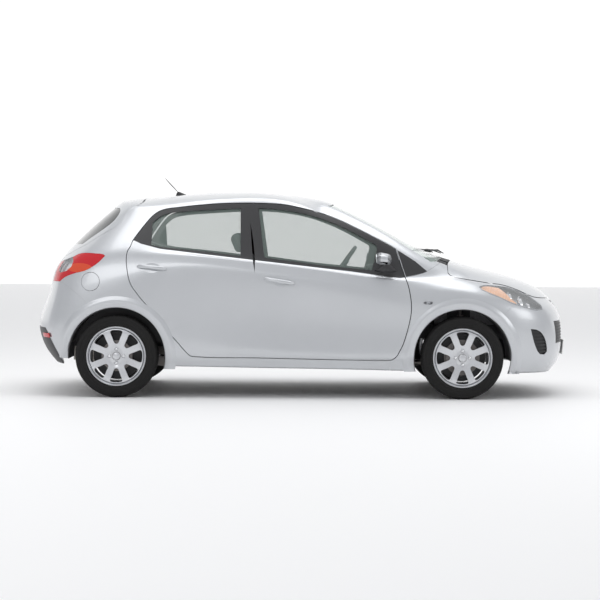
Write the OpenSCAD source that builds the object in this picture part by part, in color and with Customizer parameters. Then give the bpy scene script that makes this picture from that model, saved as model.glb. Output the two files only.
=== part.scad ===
// Five-door hatchback car, built as an assembly of its real panels, doors, wheels and running gear.
// Frame: X forward, Y to the car's left, Z up. Origin on the road, under the middle of the car.
// The painted skin is one smooth surface through SKIN's points. Each panel is a piece of that surface.

/* [Overall] */
// Distance between the front and rear axles
wheelbase = 2490; // [2200:10:2800]
// Front axle to the nose of the front bumper
front_overhang = 798; // [700:1:900]
// Rear axle to the back of the rear bumper
rear_overhang = 632; // [560:1:720]
// Width of the body over the doors
body_w = 1695; // [1500:5:1900]
// Height of the roof above the road
body_h = 1501; // [1380:1:1620]

/* [Wheels] */
// Diameter over the tread
tyre_d = 594; // [560:1:620]
// Width of the tyre
tyre_w = 195; // [165:1:225]
// Outer diameter of the rim's flange
rim_d = 430; // [380:1:450]
// Distance between the middles of the front tyres, and of the rear ones
track = 1475; // [1380:1:1560]
// Diameter of the bore in the middle of the rim
hub_bore_d = 60; // [50:1:70]
// Number of wheel nuts on each rim
lug_count = 4; // [4:1:5]
// Diameter of the circle that the wheel nuts stand on
lug_pcd = 100; // [98:1:114]
// Diameter of the hole for each wheel nut
lug_hole_d = 14; // [12:0.5:16]
// Radius of the wheel arch in the body side
arch_r = 350; // [335:1:375]

/* [Panels] */
// Thickness of bumpers, wings and bonnet
panel_t = 14; // [8:1:20]
// Thickness of the side window panes
glass_t = 5; // [4:0.5:8]
// Gap between a panel that opens and its neighbours
shut_gap = 5; // [5:0.5:8]
// Gap between two fixed panels
seam_gap = 1; // [0.6:0.1:3]
// Diameter of the fuel flap
fuel_flap_d = 130; // [100:1:150]

/* [Hinges] */
// Diameter of a door hinge's pin
hinge_pin_d = 12; // [8:0.5:16]
// Running clearance round an axle or a pin
pin_clear = 0.05; // [0.02:0.01:0.09]

/* [Cabin] */
// Width of one front seat
seat_w = 500; // [440:5:540]
// Distance between the middles of the front seats
seat_spacing = 700; // [640:5:760]
// Diameter of the steering wheel
steering_wheel_d = 370; // [340:5:400]

/* [Hidden] */

paint = [0.80, 0.82, 0.85];
black_trim = [0.10, 0.10, 0.11];

// The shape was laid out on a car of these sizes, and follows the sizes above in proportion.
NOM_FRONT_AXLE = 1162;
NOM_REAR_AXLE = -1328;
NOM_FRONT_OVERHANG = 798;
NOM_REAR_OVERHANG = 632;
NOM_W = 1695;
NOM_H = 1501;
car_l = wheelbase + front_overhang + rear_overhang;
front_axle_x = car_l / 2 - front_overhang;
rear_axle_x = front_axle_x - wheelbase;
axle_z = tyre_d / 2;
wheel_y = track / 2;
fit = 0.3; // how far apart fitted pieces of one body stand

function mx(x) = x > NOM_FRONT_AXLE ? front_axle_x + (x - NOM_FRONT_AXLE) * front_overhang / NOM_FRONT_OVERHANG
  : x < NOM_REAR_AXLE ? rear_axle_x + (x - NOM_REAR_AXLE) * rear_overhang / NOM_REAR_OVERHANG
  : rear_axle_x + (x - NOM_REAR_AXLE) * wheelbase / (NOM_FRONT_AXLE - NOM_REAR_AXLE);
function my(y) = y * body_w / NOM_W;
function mz(z) = z * body_h / NOM_H;
function mxz(points) = [for (p = points) [mx(p[0]), mz(p[1])]];
function myz(points) = [for (p = points) [my(p[0]), mz(p[1])]];

// ---- The skin ----
// Each row is a line round one half of the car, from the middle of the tail to the middle of the nose.
// The rows climb from the bottom edge to the middle of the roof. Each point is [x, y, z].
SKIN = [
  // bottom edge of bumpers and sills
  [[-1840,0,240],[-1832,250,240],[-1798,480,238],[-1738,640,235],[-1630,760,232],[-1328,800,232],[-900,800,228],[-330,802,218],
   [200,802,212],[700,802,203],[1162,792,195],[1500,755,190],[1700,650,186],[1815,480,183],[1866,250,181],[1882,0,180]],
  // top of the sill
  [[-1912,0,330],[-1904,262,330],[-1866,505,330],[-1797,670,325],[-1668,790,320],[-1328,826,305],[-900,828,300],[-330,830,293],
   [200,830,288],[700,830,283],[1162,822,280],[1500,790,275],[1732,680,271],[1868,500,268],[1928,262,266],[1944,0,265]],
  // crease along the foot of the doors
  [[-1954,0,450],[-1946,272,450],[-1906,524,450],[-1830,695,442],[-1690,812,432],[-1328,843,440],[-900,841,430],[-330,845,362],
   [200,846,336],[700,845,322],[1162,840,370],[1500,808,385],[1745,700,382],[1886,516,382],[1946,268,384],[1960,0,386]],
  // hollow in the middle of the doors
  [[-1957,0,560],[-1949,272,560],[-1909,528,560],[-1836,702,556],[-1700,822,556],[-1328,848,600],[-900,838,600],[-330,829,550],
   [200,829,525],[700,833,505],[1162,847,560],[1500,815,520],[1748,705,512],[1888,518,510],[1946,268,512],[1959,0,513]],
  // shoulder line
  [[-1893,0,700],[-1887,278,700],[-1856,530,700],[-1800,695,702],[-1690,803,712],[-1328,844,790],[-900,839,900],[-330,843,858],
   [200,846,782],[700,847,692],[1162,843,715],[1500,800,650],[1735,690,632],[1868,500,626],[1915,262,623],[1928,0,621]],
  // above the shoulder, and the bonnet's front edge
  [[-1868,0,800],[-1862,278,800],[-1830,524,804],[-1776,682,812],[-1664,782,834],[-1328,825,905],[-900,824,985],[-330,829,925],
   [200,833,860],[700,830,790],[1162,808,800],[1480,748,748],[1690,640,716],[1800,470,714],[1848,250,717],[1860,0,718]],
  // under the windows, and the middle of the bonnet
  [[-1845,0,920],[-1838,276,920],[-1804,510,926],[-1745,655,938],[-1620,748,964],[-1328,788,1022],[-900,800,1040],[-330,808,986],
   [200,811,926],[700,803,862],[1120,735,872],[1370,645,850],[1530,532,842],[1612,388,850],[1652,200,857],[1664,0,859]],
  // foot of the windows all round
  [[-1726,0,1085],[-1716,240,1085],[-1675,448,1088],[-1598,590,1096],[-1475,682,1108],[-1240,735,1122],[-900,772,1060],[-330,792,994],
   [200,793,938],[600,788,884],[850,748,915],[938,690,985],[985,590,1003],[1015,430,1011],[1035,225,1014],[1040,0,1015]],
  // middle of the windows
  [[-1572,0,1240],[-1562,218,1240],[-1520,405,1240],[-1442,535,1240],[-1335,606,1240],[-1140,655,1238],[-850,678,1218],[-350,697,1195],
   [60,706,1150],[330,706,1110],[545,692,1140],[600,622,1205],[625,520,1209],[641,380,1211],[650,198,1212],[653,0,1212]],
  // top of the windows
  [[-1390,0,1396],[-1380,200,1395],[-1348,365,1390],[-1290,478,1378],[-1190,548,1358],[-1030,582,1344],[-790,590,1382],[-400,596,1405],
   [-130,598,1394],[50,600,1358],[172,592,1325],[200,520,1395],[222,440,1403],[238,325,1407],[246,168,1409],[248,0,1409]],
  // edge of the roof
  [[-1320,0,1430],[-1314,190,1428],[-1288,335,1420],[-1230,432,1409],[-1130,492,1402],[-975,525,1408],[-750,540,1432],[-400,548,1450],
   [-155,545,1439],[-10,535,1413],[80,512,1396],[115,460,1416],[128,385,1429],[136,285,1437],[141,148,1441],[142,0,1442]],
  // roof panel
  [[-1130,0,1456],[-1124,115,1455],[-1102,212,1452],[-1060,288,1450],[-985,335,1455],[-870,358,1466],[-690,370,1480],[-400,376,1488],
   [-215,370,1481],[-120,350,1471],[-65,312,1466],[-38,262,1467],[-24,195,1469],[-16,130,1471],[-11,65,1472],[-10,0,1473]],
  // middle of the roof
  [[-930,0,1475],[-915,0,1476],[-885,0,1479],[-845,0,1482],[-790,0,1487],[-715,0,1492],[-600,0,1498],[-430,0,1501],
   [-325,0,1499],[-275,0,1497],[-240,0,1495],[-215,0,1493],[-198,0,1492],[-186,0,1491],[-178,0,1490],[-175,0,1490]]];
SKIN_STEPS = 2;
COARSE_DEPTH = 50; // from this far in, out of sight, the skin takes one step between its points
LAST_ROW = len(SKIN) - 1;
LAST_STATION = len(SKIN[0]) - 1;

function flip(p) = [p[0], -p[1], p[2]];
// A skin point, mirrored past the car's middle plane and drawn on past the bottom edge
function skin_point(i, j) = j < 0 ? flip(skin_point(i, -j))
  : j > LAST_STATION ? flip(skin_point(i, 2 * LAST_STATION - j))
  : i > LAST_ROW ? flip(skin_point(2 * LAST_ROW - i, j))
  : i < 0 ? (1 - i) * skin_point(0, j) + i * skin_point(1, j)
  : SKIN[i][j];
// Spline control points, set so that the smooth surface passes through the skin's points
function along_control(i, j) = (8 * skin_point(i, j) - skin_point(i, j - 1) - skin_point(i, j + 1)) / 6;
CONTROL = [for (i = [-1:LAST_ROW + 1]) [for (j = [-1:LAST_STATION + 1])
  (8 * along_control(i, j) - along_control(i - 1, j) - along_control(i + 1, j)) / 6]];
function basis(t) = [(1 - t) ^ 3, 3 * t ^ 3 - 6 * t ^ 2 + 4, -3 * t ^ 3 + 3 * t ^ 2 + 3 * t + 1, t ^ 3] / 6;
function slope(t) = [-(1 - t) ^ 2, 3 * t ^ 2 - 4 * t, -3 * t ^ 2 + 2 * t + 1, t ^ 2] / 2;
function blend(row, j, b) = b[0] * row[j] + b[1] * row[j + 1] + b[2] * row[j + 2] + b[3] * row[j + 3];
function patch(i, j, bv, bu) = bv[0] * blend(CONTROL[i], j, bu) + bv[1] * blend(CONTROL[i + 1], j, bu)
  + bv[2] * blend(CONTROL[i + 2], j, bu) + bv[3] * blend(CONTROL[i + 3], j, bu);
function unit(v) = v / max(norm(v), 1e-9);
function to_size(p) = [mx(p[0]), my(p[1]), mz(p[2])];
// A point of the skin at row v and station u, set in from the surface by depth
function skin_at(v, u, depth) =
  let (i = min(floor(v), LAST_ROW - 1), j = min(floor(u), LAST_STATION - 1), bv = basis(v - i), bu = basis(u - j),
       normal = unit(cross(patch(i, j, slope(v - i), bu), patch(i, j, bv, slope(u - j)))))
  to_size(patch(i, j, bv, bu)) - depth * normal;

// The closed solid inside the skin, set in by depth, less so from the windows up. Its bottom
// edge is carried straight down by drop.
function set_in(v, depth) = depth * (v > 8 ? 0.6 : v > 7 ? 1 - 0.4 * (v - 7) : 1);
module skin_solid(depth, drop = 0) {
  n = depth >= COARSE_DEPTH ? 1 : SKIN_STEPS;
  rows = LAST_ROW * n;
  stations = LAST_STATION * n;
  ring = 2 * stations;
  half = [for (r = [0:rows]) [for (s = [0:stations]) skin_at(r / n, s / n, set_in(r / n, depth))]];
  ring_points = [for (r = [0:rows - 1]) for (k = [0:ring - 1])
    (k <= stations ? flip(half[r][k]) : half[r][ring - k]) - (r == 0 ? [0, 0, drop] : [0, 0, 0])];
  spine = [for (s = [0:stations]) [half[rows][s][0], 0, half[rows][s][2]]];
  bottom = [0, 0, half[0][floor(stations / 2)][2] - drop];
  function at(r, k) = r == rows ? rows * ring + min(k % ring, ring - k % ring) : r * ring + k % ring;
  skin_faces = [for (r = [0:rows - 1]) for (k = [0:ring - 1])
    for (f = [[at(r, k), at(r + 1, k), at(r + 1, k + 1)], [at(r, k), at(r + 1, k + 1), at(r, k + 1)]])
    if (f[0] != f[1] && f[1] != f[2] && f[0] != f[2]) f];
  bottom_at = rows * ring + stations + 1;
  polyhedron(concat(ring_points, spine, [bottom]),
    concat(skin_faces, [for (k = [0:ring - 1]) [at(0, k + 1), bottom_at, at(0, k)]]));
}

// ---- Outlines, drawn on the nominal car: side view [x, z], front view [y, z] ----
WINDOW_TOP = [[-1216,1127],[-1173,1194],[-1137,1244],[-1101,1290],[-1065,1325],[-1029,1346],[-978,1361],[-920,1368],
  [-812,1381],[-594,1400],[-387,1405],[-232,1402],[-123,1394],[-14,1373],[59,1356],[168,1325],[277,1284],[386,1232],
  [495,1176],[604,1120],[678,1078]];
DOOR_GAP = [[-387,1405],[-371,1226],[-352,1003],[-337,913],[-326,809],[-318,705],[-305,427],[-304,294]];
FRONT_DOOR_EDGE = [[638,283],[681,307],[702,342],[730,398],[765,516],[783,607],[786,676],[778,746],[764,815],[745,871],
  [678,1078]];
REAR_DOOR_EDGE = [[-1216,1127],[-1230,1088],[-1251,1047],[-1256,998],[-1251,942],[-1236,859],[-1214,803],[-1185,762],
  [-1142,707],[-1084,644],[-1012,554],[-940,465],[-867,382],[-831,340],[-781,302]];
FRONT_DOOR = concat([for (i = [10:len(WINDOW_TOP) - 1]) WINDOW_TOP[i]],
  [for (i = [len(FRONT_DOOR_EDGE) - 2:-1:0]) FRONT_DOOR_EDGE[i]], [for (i = [len(DOOR_GAP) - 1:-1:1]) DOOR_GAP[i]]);
REAR_DOOR = concat([for (i = [0:10]) WINDOW_TOP[i]], [for (i = [1:len(DOOR_GAP) - 1]) DOOR_GAP[i]],
  [for (i = [len(REAR_DOOR_EDGE) - 1:-1:1]) REAR_DOOR_EDGE[i]]);
FRONT_DOOR_GLASS = [[-316,1370],[-194,1363],[-86,1350],[22,1330],[131,1299],[275,1244],[419,1172],[506,1123],
  [539,1106],[546,1078],[507,925],[120,962],[-269,1012]];
REAR_DOOR_GLASS = [[-446,1369],[-806,1346],[-950,1331],[-1021,1310],[-1086,1257],[-1085,1096],[-1000,1082],
  [-700,1052],[-438,1022]];
WING = [[640,150],[640,860],[744,874],[815,888],[880,906],[906,918],[1012,984],[1012,1100],[1620,1100],[1620,150]];
BONNET_SIDE = [[1060,1150],[1060,908],[1081,890],[1133,873],[1227,856],[1300,842],[1351,828],[1410,825],[1468,818],
  [1570,791],[1628,770],[1680,738],[1745,727],[1900,722],[1900,1150]];
FRONT_BUMPER = [[1400,60],[1400,520],[1445,595],[1531,680],[1600,720],[2200,720],[2200,60]];
HEADLAMP = [[1279,809],[1319,820],[1398,817],[1456,811],[1507,802],[1557,786],[1615,766],[1666,735],[1710,703],
  [1746,672],[1753,644],[1696,640],[1594,667],[1507,695],[1435,728],[1363,757],[1297,788]];
TAIL_LAMP = [[-1656,1009],[-1613,1030],[-1562,1037],[-1490,1034],[-1432,1029],[-1414,1017],[-1454,975],[-1511,933],
  [-1561,908],[-1633,890],[-1705,862],[-1745,830],[-1850,830],[-1800,960]];
REAR_BUMPER = [[-1420,60],[-1420,560],[-1490,610],[-1560,700],[-1640,765],[-1745,830],[-1880,830],[-1890,690],
  [-2200,690],[-2200,60]];
TAILGATE_REAR = [[-500,690],[500,690],[545,760],[590,830],[600,880],[500,1000],[600,1060],[628,1100],[606,1240],
  [528,1345],[470,1480],[-470,1480],[-528,1345],[-606,1240],[-628,1100],[-600,1060],[-500,1000],[-600,880],[-590,830],
  [-545,760]];
TAILGATE_SIDE = [[-2200,690],[-1870,690],[-1600,820],[-1400,960],[-1400,1060],[-1240,1200],[-1256,1345],[-1165,1420],[-1165,1700],[-2200,1700]];
TAILGATE_GLASS = [[-585,1100],[585,1100],[568,1240],[500,1335],[420,1368],[-420,1368],[-500,1335],[-568,1240]];
WINDSCREEN = [[-690,985],[-600,1003],[-430,1012],[0,1016],[430,1012],[600,1003],[690,985],[622,1205],[520,1392],
  [440,1402],[240,1407],[0,1409],[-240,1407],[-440,1402],[-520,1392],[-622,1205]];
ROOF = [[-1157,-410],[-1157,410],[-1060,478],[-750,538],[-400,546],[-155,543],[-10,532],[90,520],[190,514],
  [260,440],[300,0],[260,-440],[190,-514],[90,-520],[-10,-532],[-155,-543],[-400,-546],[-750,-538],[-1060,-478]];

// Prisms that cut a piece of the body out of its outline, made larger all round by gap
module from_side(outline, gap = 0, y0 = 0, y1 = 1100)
  translate([0, y1, 0]) rotate([90, 0, 0]) linear_extrude(y1 - y0) offset(delta = gap) polygon(mxz(outline));
module from_front(outline, gap = 0, x0 = 300, x1 = 2300)
  translate([x0, 0, 0]) rotate([90, 0, 90]) linear_extrude(x1 - x0) offset(delta = gap) polygon(myz(outline));
module from_top(outline, gap = 0, z0 = 1200, z1 = 1700)
  translate([0, 0, z0]) linear_extrude(z1 - z0) offset(delta = gap) polygon([for (p = outline) [mx(p[0]), my(p[1])]]);
module arch_cut(axle_x, r = arch_r) translate([axle_x, 0, axle_z]) rotate([90, 0, 0]) cylinder(r = r, h = 2400, center = true, $fn = 64);
module both_sides() {
  children();
  mirror([0, 1, 0]) children();
}
module side(s) scale([1, s, 1]) children();

// The body wall between two depths under the skin
module wall(d0, d1) difference() {
  skin_solid(d0);
  skin_solid(d1, 400);
}

module bonnet_cut(gap = 0) intersection() {
  from_side(BONNET_SIDE, gap, -1100, 1100);
  from_top([[1140,0],[1115,300],[1060,640],[1060,900],[2200,900],[2200,-900],[1060,-900],[1060,-640],[1115,-300]], gap, 300, 1500);
}
module windscreen_cut(gap = 0) from_front(WINDSCREEN, gap, mx(150), mx(1048));
module tailgate_cut(gap = 0) intersection() {
  from_side(TAILGATE_SIDE, gap, -1100, 1100);
  from_front(TAILGATE_REAR, gap, -2300, mx(-1000));
}

// ---- Fixed body panels ----
module faceted() resize([0, 0, 0]) children();

// Everything on one side of the car that opens or is fixed on separately
module side_neighbours(gap) {
  intersection() {
    union() {
      from_side(FRONT_DOOR, shut_gap + 1, 300);
      from_side(REAR_DOOR, shut_gap + 1, 300);
    }
    wall(-60, DOOR_EDGE_T + 6);
  }
  from_side(FRONT_DOOR, shut_gap - DOOR_INSET, 300);
  from_side(REAR_DOOR, shut_gap - DOOR_INSET, 300);
  from_side(FRONT_BUMPER, gap, -10);
  from_side(REAR_BUMPER, gap, -10);
  from_side(HEADLAMP, gap, 300);
  from_side(TAIL_LAMP, gap, 400);
  bonnet_cut(shut_gap);
  tailgate_cut(shut_gap);
  windscreen_cut(gap);
  from_top(ROOF, gap);
  translate([mx(-1260), 0, mz(1300)]) cube([110, my(425), 400]);
  translate([mx(-400), my(700), mz(296)]) cube([mx(-232) - mx(-400), 400, mz(960) - mz(296)]);
  translate([mx(-990), 0, 0]) cube([seam_gap, 1000, 1700]);
  arch_cut(front_axle_x);
  arch_cut(rear_axle_x);
}
DOOR_EDGE_T = 6; // thickness of a door's outer flange
DOOR_INSET = 16; // how far a door's body stands in from its flange
DOOR_T = 70;

module body_side(fuel_side = false) {
  color(paint) {
    faceted() difference() {
      intersection() {
        wall(0, DOOR_T);
        translate([-2100, 8, 0]) cube([2100 + mx(1052), 1000, 1600]);
      }
      side_neighbours(seam_gap / 2);
      from_side(WING, seam_gap, 300);
      cowl_space(seam_gap);
      if (fuel_side) fuel_recess();
    }
    pillars();
    hinge_mounts();
    if (fuel_side) translate([flap_hinge[0], flap_hinge[1], mz(FUEL[1])])
      cylinder(d = FLAP_PIN_D, h = 28 - 2 * 0.2, center = true, $fn = 24);
  }
}
// The room that the cowl panel takes between the pillars
module cowl_space(gap) translate([mx(850), -my(655) - gap, mz(800)]) cube([mx(1180) - mx(850), 2 * (my(655) + gap), 700]);
// The middle pillar and the pillar that carries the front door, inside the doors, with the box sill that joins them
module pillars() {
  for (x = [[-345, -240], [748, 800]])
    translate([mx(x[0]), my(690), mz(286)]) cube([mx(x[1]) - mx(x[0]), my(730) - my(690), mz(985) - mz(286) - (x[0] > 0 ? mz(85) : 0)]);
  translate([mx(-900), my(690), mz(226)]) cube([mx(790) - mx(-900), my(756) - my(690), mz(285.8) - mz(226)]);
  translate([mx(800.2), my(690), mz(500)]) cube([mx(872) - mx(800.2), my(730) - my(690), mz(900) - mz(500)]);
}
HINGE_HEIGHTS = [[[856, 817], [580, 720]], [[-259, 815], [480, 800]]];
// Two ears and the pin between them, for each hinge
module hinge_mounts() for (h = HINGE_HEIGHTS) for (z = h[1]) translate([mx(h[0][0]), my(h[0][1]), mz(z)]) {
  for (k = [-1, 1]) translate([-11, my(730.2) - my(h[0][1]), k * 22 - 5]) cube([22, my(h[0][1]) - my(730.2) + 11, 10]);
  cylinder(d = hinge_pin_d, h = 40, center = true, $fn = 32);
}
// The curved arm that carries a door, from its bored eye on the pin to the door's front face
module hinge_arms(index) {
  h = HINGE_HEIGHTS[index];
  color(paint) for (z = h[1]) translate([mx(h[0][0]), my(h[0][1]), mz(z)]) difference() {
    union() {
      cylinder(d = 26, h = 32, center = true, $fn = 32);
      for (leg = [[[0, 0], [-40, -69]], [[-40, -69], [-80, -66]], [[-80, -66], [-109.6, -30]]])
        hull() for (p = leg) translate([p[0], p[1], 0]) cylinder(d = 12, h = 28, center = true, $fn = 8);
    }
    cylinder(d = hinge_pin_d + 2 * pin_clear, h = 60, center = true, $fn = 32);
  }
}
module body_sides() {
  body_side();
  mirror([0, 1, 0]) body_side(true);
}
FUEL = [-1515, 832]; // middle of the fuel flap, from the side
flap_r = fuel_flap_d / 2;
FLAP_T = 4;
FLAP_PIN_D = 5;
// Where the fuel flap's hinge pin stands, in front of its front edge and under the skin
flap_hinge = [mx(FUEL[0]) + flap_r + 20, my(812)];
// The recess behind the flap, with the room for its hinge
module fuel_recess() {
  fuel_pocket(shut_gap);
  intersection() {
    translate([flap_hinge[0] - 40, flap_hinge[1] - 34, mz(FUEL[1]) - 14]) cube([56, 200, 28]);
    skin_solid(FLAP_T - 1);
  }
}
module fuel_pocket(gap) translate([mx(FUEL[0]), 0, mz(FUEL[1])]) rotate([-90, 0, 0]) cylinder(r = flap_r + gap, h = 1000, $fn = 48);

module roof_panel() color(paint) {
  faceted() difference() {
    intersection() {
      wall(0, ROOF_T);
      from_top(ROOF, -seam_gap / 2);
    }
    windscreen_cut(seam_gap);
    both_sides() tailgate_arm_slot();
  }
  faceted() both_sides() intersection() {
    tailgate_hinge_ears();
    skin_solid(ROOF_T + fit);
  }
  both_sides() lid_pin(TAILGATE_AXIS, 17);
}
ROOF_T = 22;
// The slot in the roof's rear edge that each tailgate arm swings up through: narrow between the ears, then wider
module tailgate_arm_slot() for (part = [[-1117, 14], [-1096, 11]])
  translate([mx(-1200), my(TAILGATE_AXIS[2]) - part[1], mz(1380)]) cube([mx(part[0]) - mx(-1200), 2 * part[1], 120]);
// Under the roof's rear edge, the two ears of each tailgate hinge
module tailgate_hinge_ears() {
  for (k = [-1, 1]) translate([mx(TAILGATE_AXIS[0]) - 12, my(TAILGATE_AXIS[2]) + k * 14 - 3, mz(TAILGATE_AXIS[1]) - 12])
    cube([24, 6, 100]);
}
module cowl_panel() color(black_trim) {
  faceted() difference() {
    intersection() {
      skin_solid(2);
      cowl_space(-1);
    }
    bonnet_cut(shut_gap + 3);
    windscreen_cut(seam_gap);
    skin_solid(60, 400);
    both_sides() translate([mx(982), my(577) - 22, mz(900)]) cube([mx(1140) - mx(982), 44, 300]);
  }
  both_sides() lid_pin(BONNET_AXIS, 21.8);
  faceted() {
    translate([BULKHEAD_X, -my(640), mz(272) + fit]) cube([12, 2 * my(640), mz(893) - mz(272)]);
    translate([BULKHEAD_X, -my(640), mz(893)]) cube([mx(1118) - BULKHEAD_X, 2 * my(640), 12]);
    intersection() {
      translate([mx(1106), -my(640), mz(893)]) cube([12, 2 * my(640), 300]);
      skin_solid(60 + fit);
    }
  }
}
BULKHEAD_NOM = 770;
BULKHEAD_X = mx(BULKHEAD_NOM);
module windscreen() color([0.75, 0.82, 0.80, 0.4]) faceted() intersection() {
  wall(0, glass_t);
  windscreen_cut(-fit);
}
module front_wings() color(paint) faceted() both_sides() difference() {
  intersection() {
    wall(0, 8);
    from_side(WING, -seam_gap / 2, 300);
  }
  from_side(FRONT_DOOR, shut_gap + 1, 300);
  from_side(FRONT_BUMPER, seam_gap / 2, -10);
  from_side(HEADLAMP, seam_gap / 2, 300);
  bonnet_cut(shut_gap / 2);
  windscreen_cut(seam_gap);
  cowl_space(seam_gap);
  arch_cut(front_axle_x);
  arch_cut(rear_axle_x);
}
UPPER_SLOT = [[-430,708],[430,708],[340,652],[-340,652]];
LOWER_GRILLE = [[-590,560],[590,560],[560,395],[-560,395]];
FOG = [[1656,508],[1703,501],[1740,480],[1769,438],[1787,382],[1791,340],[1770,318],[1733,322],[1708,353],[1682,416]];
module front_openings(gap) {
  from_front(UPPER_SLOT, gap, mx(1500));
  from_front(LOWER_GRILLE, gap, mx(1500));
  both_sides() from_side(FOG, gap, my(610));
}
module front_bumper() color(paint) faceted() difference() {
  intersection() {
    wall(0, panel_t);
    union() both_sides() from_side(FRONT_BUMPER, -seam_gap / 2, -10);
  }
  both_sides() from_side(HEADLAMP, seam_gap / 2, 300);
  bonnet_cut(shut_gap / 2);
  front_openings(0);
  arch_cut(front_axle_x);
}
module grille() color(black_trim) faceted() intersection() {
  wall(panel_t + 0.5, panel_t + 8.5);
  front_openings(14);
  translate([mx(1500), -1000, 0]) cube([800, 2000, mz(712)]);
}
module rear_bumper() color(paint) faceted() difference() {
  intersection() {
    wall(0, panel_t);
    union() both_sides() from_side(REAR_BUMPER, -seam_gap / 2, -10);
  }
  both_sides() from_side(TAIL_LAMP, seam_gap / 2, 400);
  tailgate_cut(shut_gap);
  arch_cut(rear_axle_x);
}
module headlamps() color([0.85, 0.87, 0.88]) faceted() both_sides() difference() {
  intersection() {
    wall(0, 60);
    from_side(HEADLAMP, -seam_gap / 2, 300);
  }
  bonnet_cut(shut_gap / 2);
}
module tail_lamps() color([0.7, 0.08, 0.08]) faceted() both_sides() difference() {
  intersection() {
    wall(0, 50);
    from_side(TAIL_LAMP, -seam_gap / 2, 400);
  }
  tailgate_cut(shut_gap);
}

// ---- Opening panels ----
module bonnet() color(paint) {
  faceted() intersection() {
    wall(0, panel_t);
    bonnet_cut(-shut_gap / 2);
  }
  faceted() both_sides() lid_arm(BONNET_AXIS, [[30, -34], [96, -34], [110, 60]], panel_t + fit);
}
module tailgate() color(paint) {
  faceted() difference() {
    intersection() {
      wall(0, TAILGATE_T);
      tailgate_cut();
    }
    from_front(TAILGATE_GLASS, 0, -2300, mx(-1180));
    arch_cut(rear_axle_x, arch_r + 20);
    on_lid_axis(TAILGATE_AXIS, 0) cylinder(r = TAILGATE_SWEEP_R, h = 2000, center = true, $fn = 96);
  }
  faceted() both_sides() lid_arm(TAILGATE_AXIS, [[-30, -34], [-90, -44], [-110, 60]], TAILGATE_T + fit);
}
TAILGATE_T = 40;
TAILGATE_SWEEP_R = 72.5; // how far the tailgate's front edge keeps from its hinge axis, to swing past the roof
// Hinge axes of the two lids, as x, z and the side place of their arms
BONNET_AXIS = [1000, 978, 577];
TAILGATE_AXIS = [-1105, 1410, 388];
module on_lid_axis(axis, y) translate([mx(axis[0]), y, mz(axis[1])]) rotate([90, 0, 0]) children();
module lid_pin(axis, half) on_lid_axis(axis, my(axis[2])) cylinder(d = hinge_pin_d, h = 2 * half, center = true, $fn = 32);
// An arm from a bored eye on a lid's hinge pin, through two bends, up to the underside of the lid
module lid_arm(axis, bends, depth) difference() {
  intersection() {
    on_lid_axis(axis, my(axis[2])) {
      points = concat([[0, 0]], bends);
      for (k = [0:2]) hull() for (p = [points[k], points[k + 1]]) translate(p)
        cylinder(d = k == 0 && p == [0, 0] ? 28 : 14, h = 18, center = true, $fn = 12);
    }
    skin_solid(depth);
  }
  on_lid_axis(axis, my(axis[2])) cylinder(d = hinge_pin_d + 2 * pin_clear, h = 60, center = true, $fn = 32);
}
module tailgate_glass() color([0.3, 0.32, 0.32]) faceted() intersection() {
  wall(2, 2 + glass_t);
  from_front(TAILGATE_GLASS, -fit, -2300, mx(-1180));
}
module door(outline, glass, index) {
  color(paint) {
    faceted() difference() {
      union() {
        intersection() {
          wall(0, DOOR_EDGE_T);
          from_side(outline, 0, 300);
        }
        intersection() {
          wall(DOOR_EDGE_T - 0.5, DOOR_T);
          from_side(outline, -DOOR_INSET, 300);
        }
      }
      from_side(glass, 0, 300);
      hinge_room(index);
      arch_cut(rear_axle_x, arch_r + 6);
      arch_cut(front_axle_x, arch_r + 6);
    }
    hinge_arms(index);
  }
}
// The room that the hinges and the middle pillar need beside a door's body, behind its flange
module hinge_room(index) intersection() {
  skin_solid(DOOR_EDGE_T, 400);
  for (room = index == 0 ? [[740, 940, 900], [-400, -232, 990]] : [[-375, -175, 960]])
    translate([mx(room[0]), 0, 0]) cube([mx(room[1]) - mx(room[0]), 1000, mz(room[2])]);
}
module door_glass(glass) color([0.75, 0.82, 0.80, 0.4]) faceted() intersection() {
  wall(10, 10 + glass_t);
  from_side(glass, -fit, 300);
}
module mirror_glass_unit() color(paint) {
  faceted() difference() {
    hull() {
      translate([mx(560), my(905), mz(1010)]) scale([0.6, 1, 1]) sphere(48, $fn = 12);
      translate([mx(620), my(905), mz(1000)]) sphere(42, $fn = 12);
      translate([mx(575), my(830), mz(1000)]) sphere(38, $fn = 12);
    }
    skin_solid(-1);
  }
  color(black_trim) faceted() difference() {
    hull() {
      translate([mx(590), my(800), mz(935)]) cube([90, 60, 26], center = true);
      translate([mx(590), my(850), mz(955)]) cube([60, 20, 16], center = true);
    }
    skin_solid(-fit);
  }
}
module fuel_flap() color(paint) mirror([0, 1, 0]) faceted() {
  intersection() {
    wall(0, FLAP_T);
    fuel_pocket(0);
  }
  difference() {
    intersection() {
      translate([flap_hinge[0], flap_hinge[1], mz(FUEL[1])]) {
        points = [[0, 0], [-12, -22], [-36, -22], [-44, 20]];
        for (k = [0:2]) hull() for (p = [points[k], points[k + 1]]) translate(p)
          cylinder(d = k == 0 && p == [0, 0] ? 12 : 5, h = 16, center = true, $fn = 8);
      }
      skin_solid(FLAP_T + fit);
    }
    translate([flap_hinge[0], flap_hinge[1], mz(FUEL[1])]) cylinder(d = FLAP_PIN_D + 2 * pin_clear, h = 60, center = true, $fn = 24);
  }
}

// ---- Wheels and running gear ----
RIM_HALF_W = 84;
HUB_FACE = 40; // how far the rim's mounting face stands outboard of the wheel's middle
SEAT_R = 202; // radius of the tyre's seat on the rim
// A wheel's pieces are drawn with their axis along z, outboard upwards, and are then laid on the axle
module at_wheel(axle_x, s) translate([axle_x, s * wheel_y, axle_z]) rotate([-90 * s, 0, 0]) children();

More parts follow.
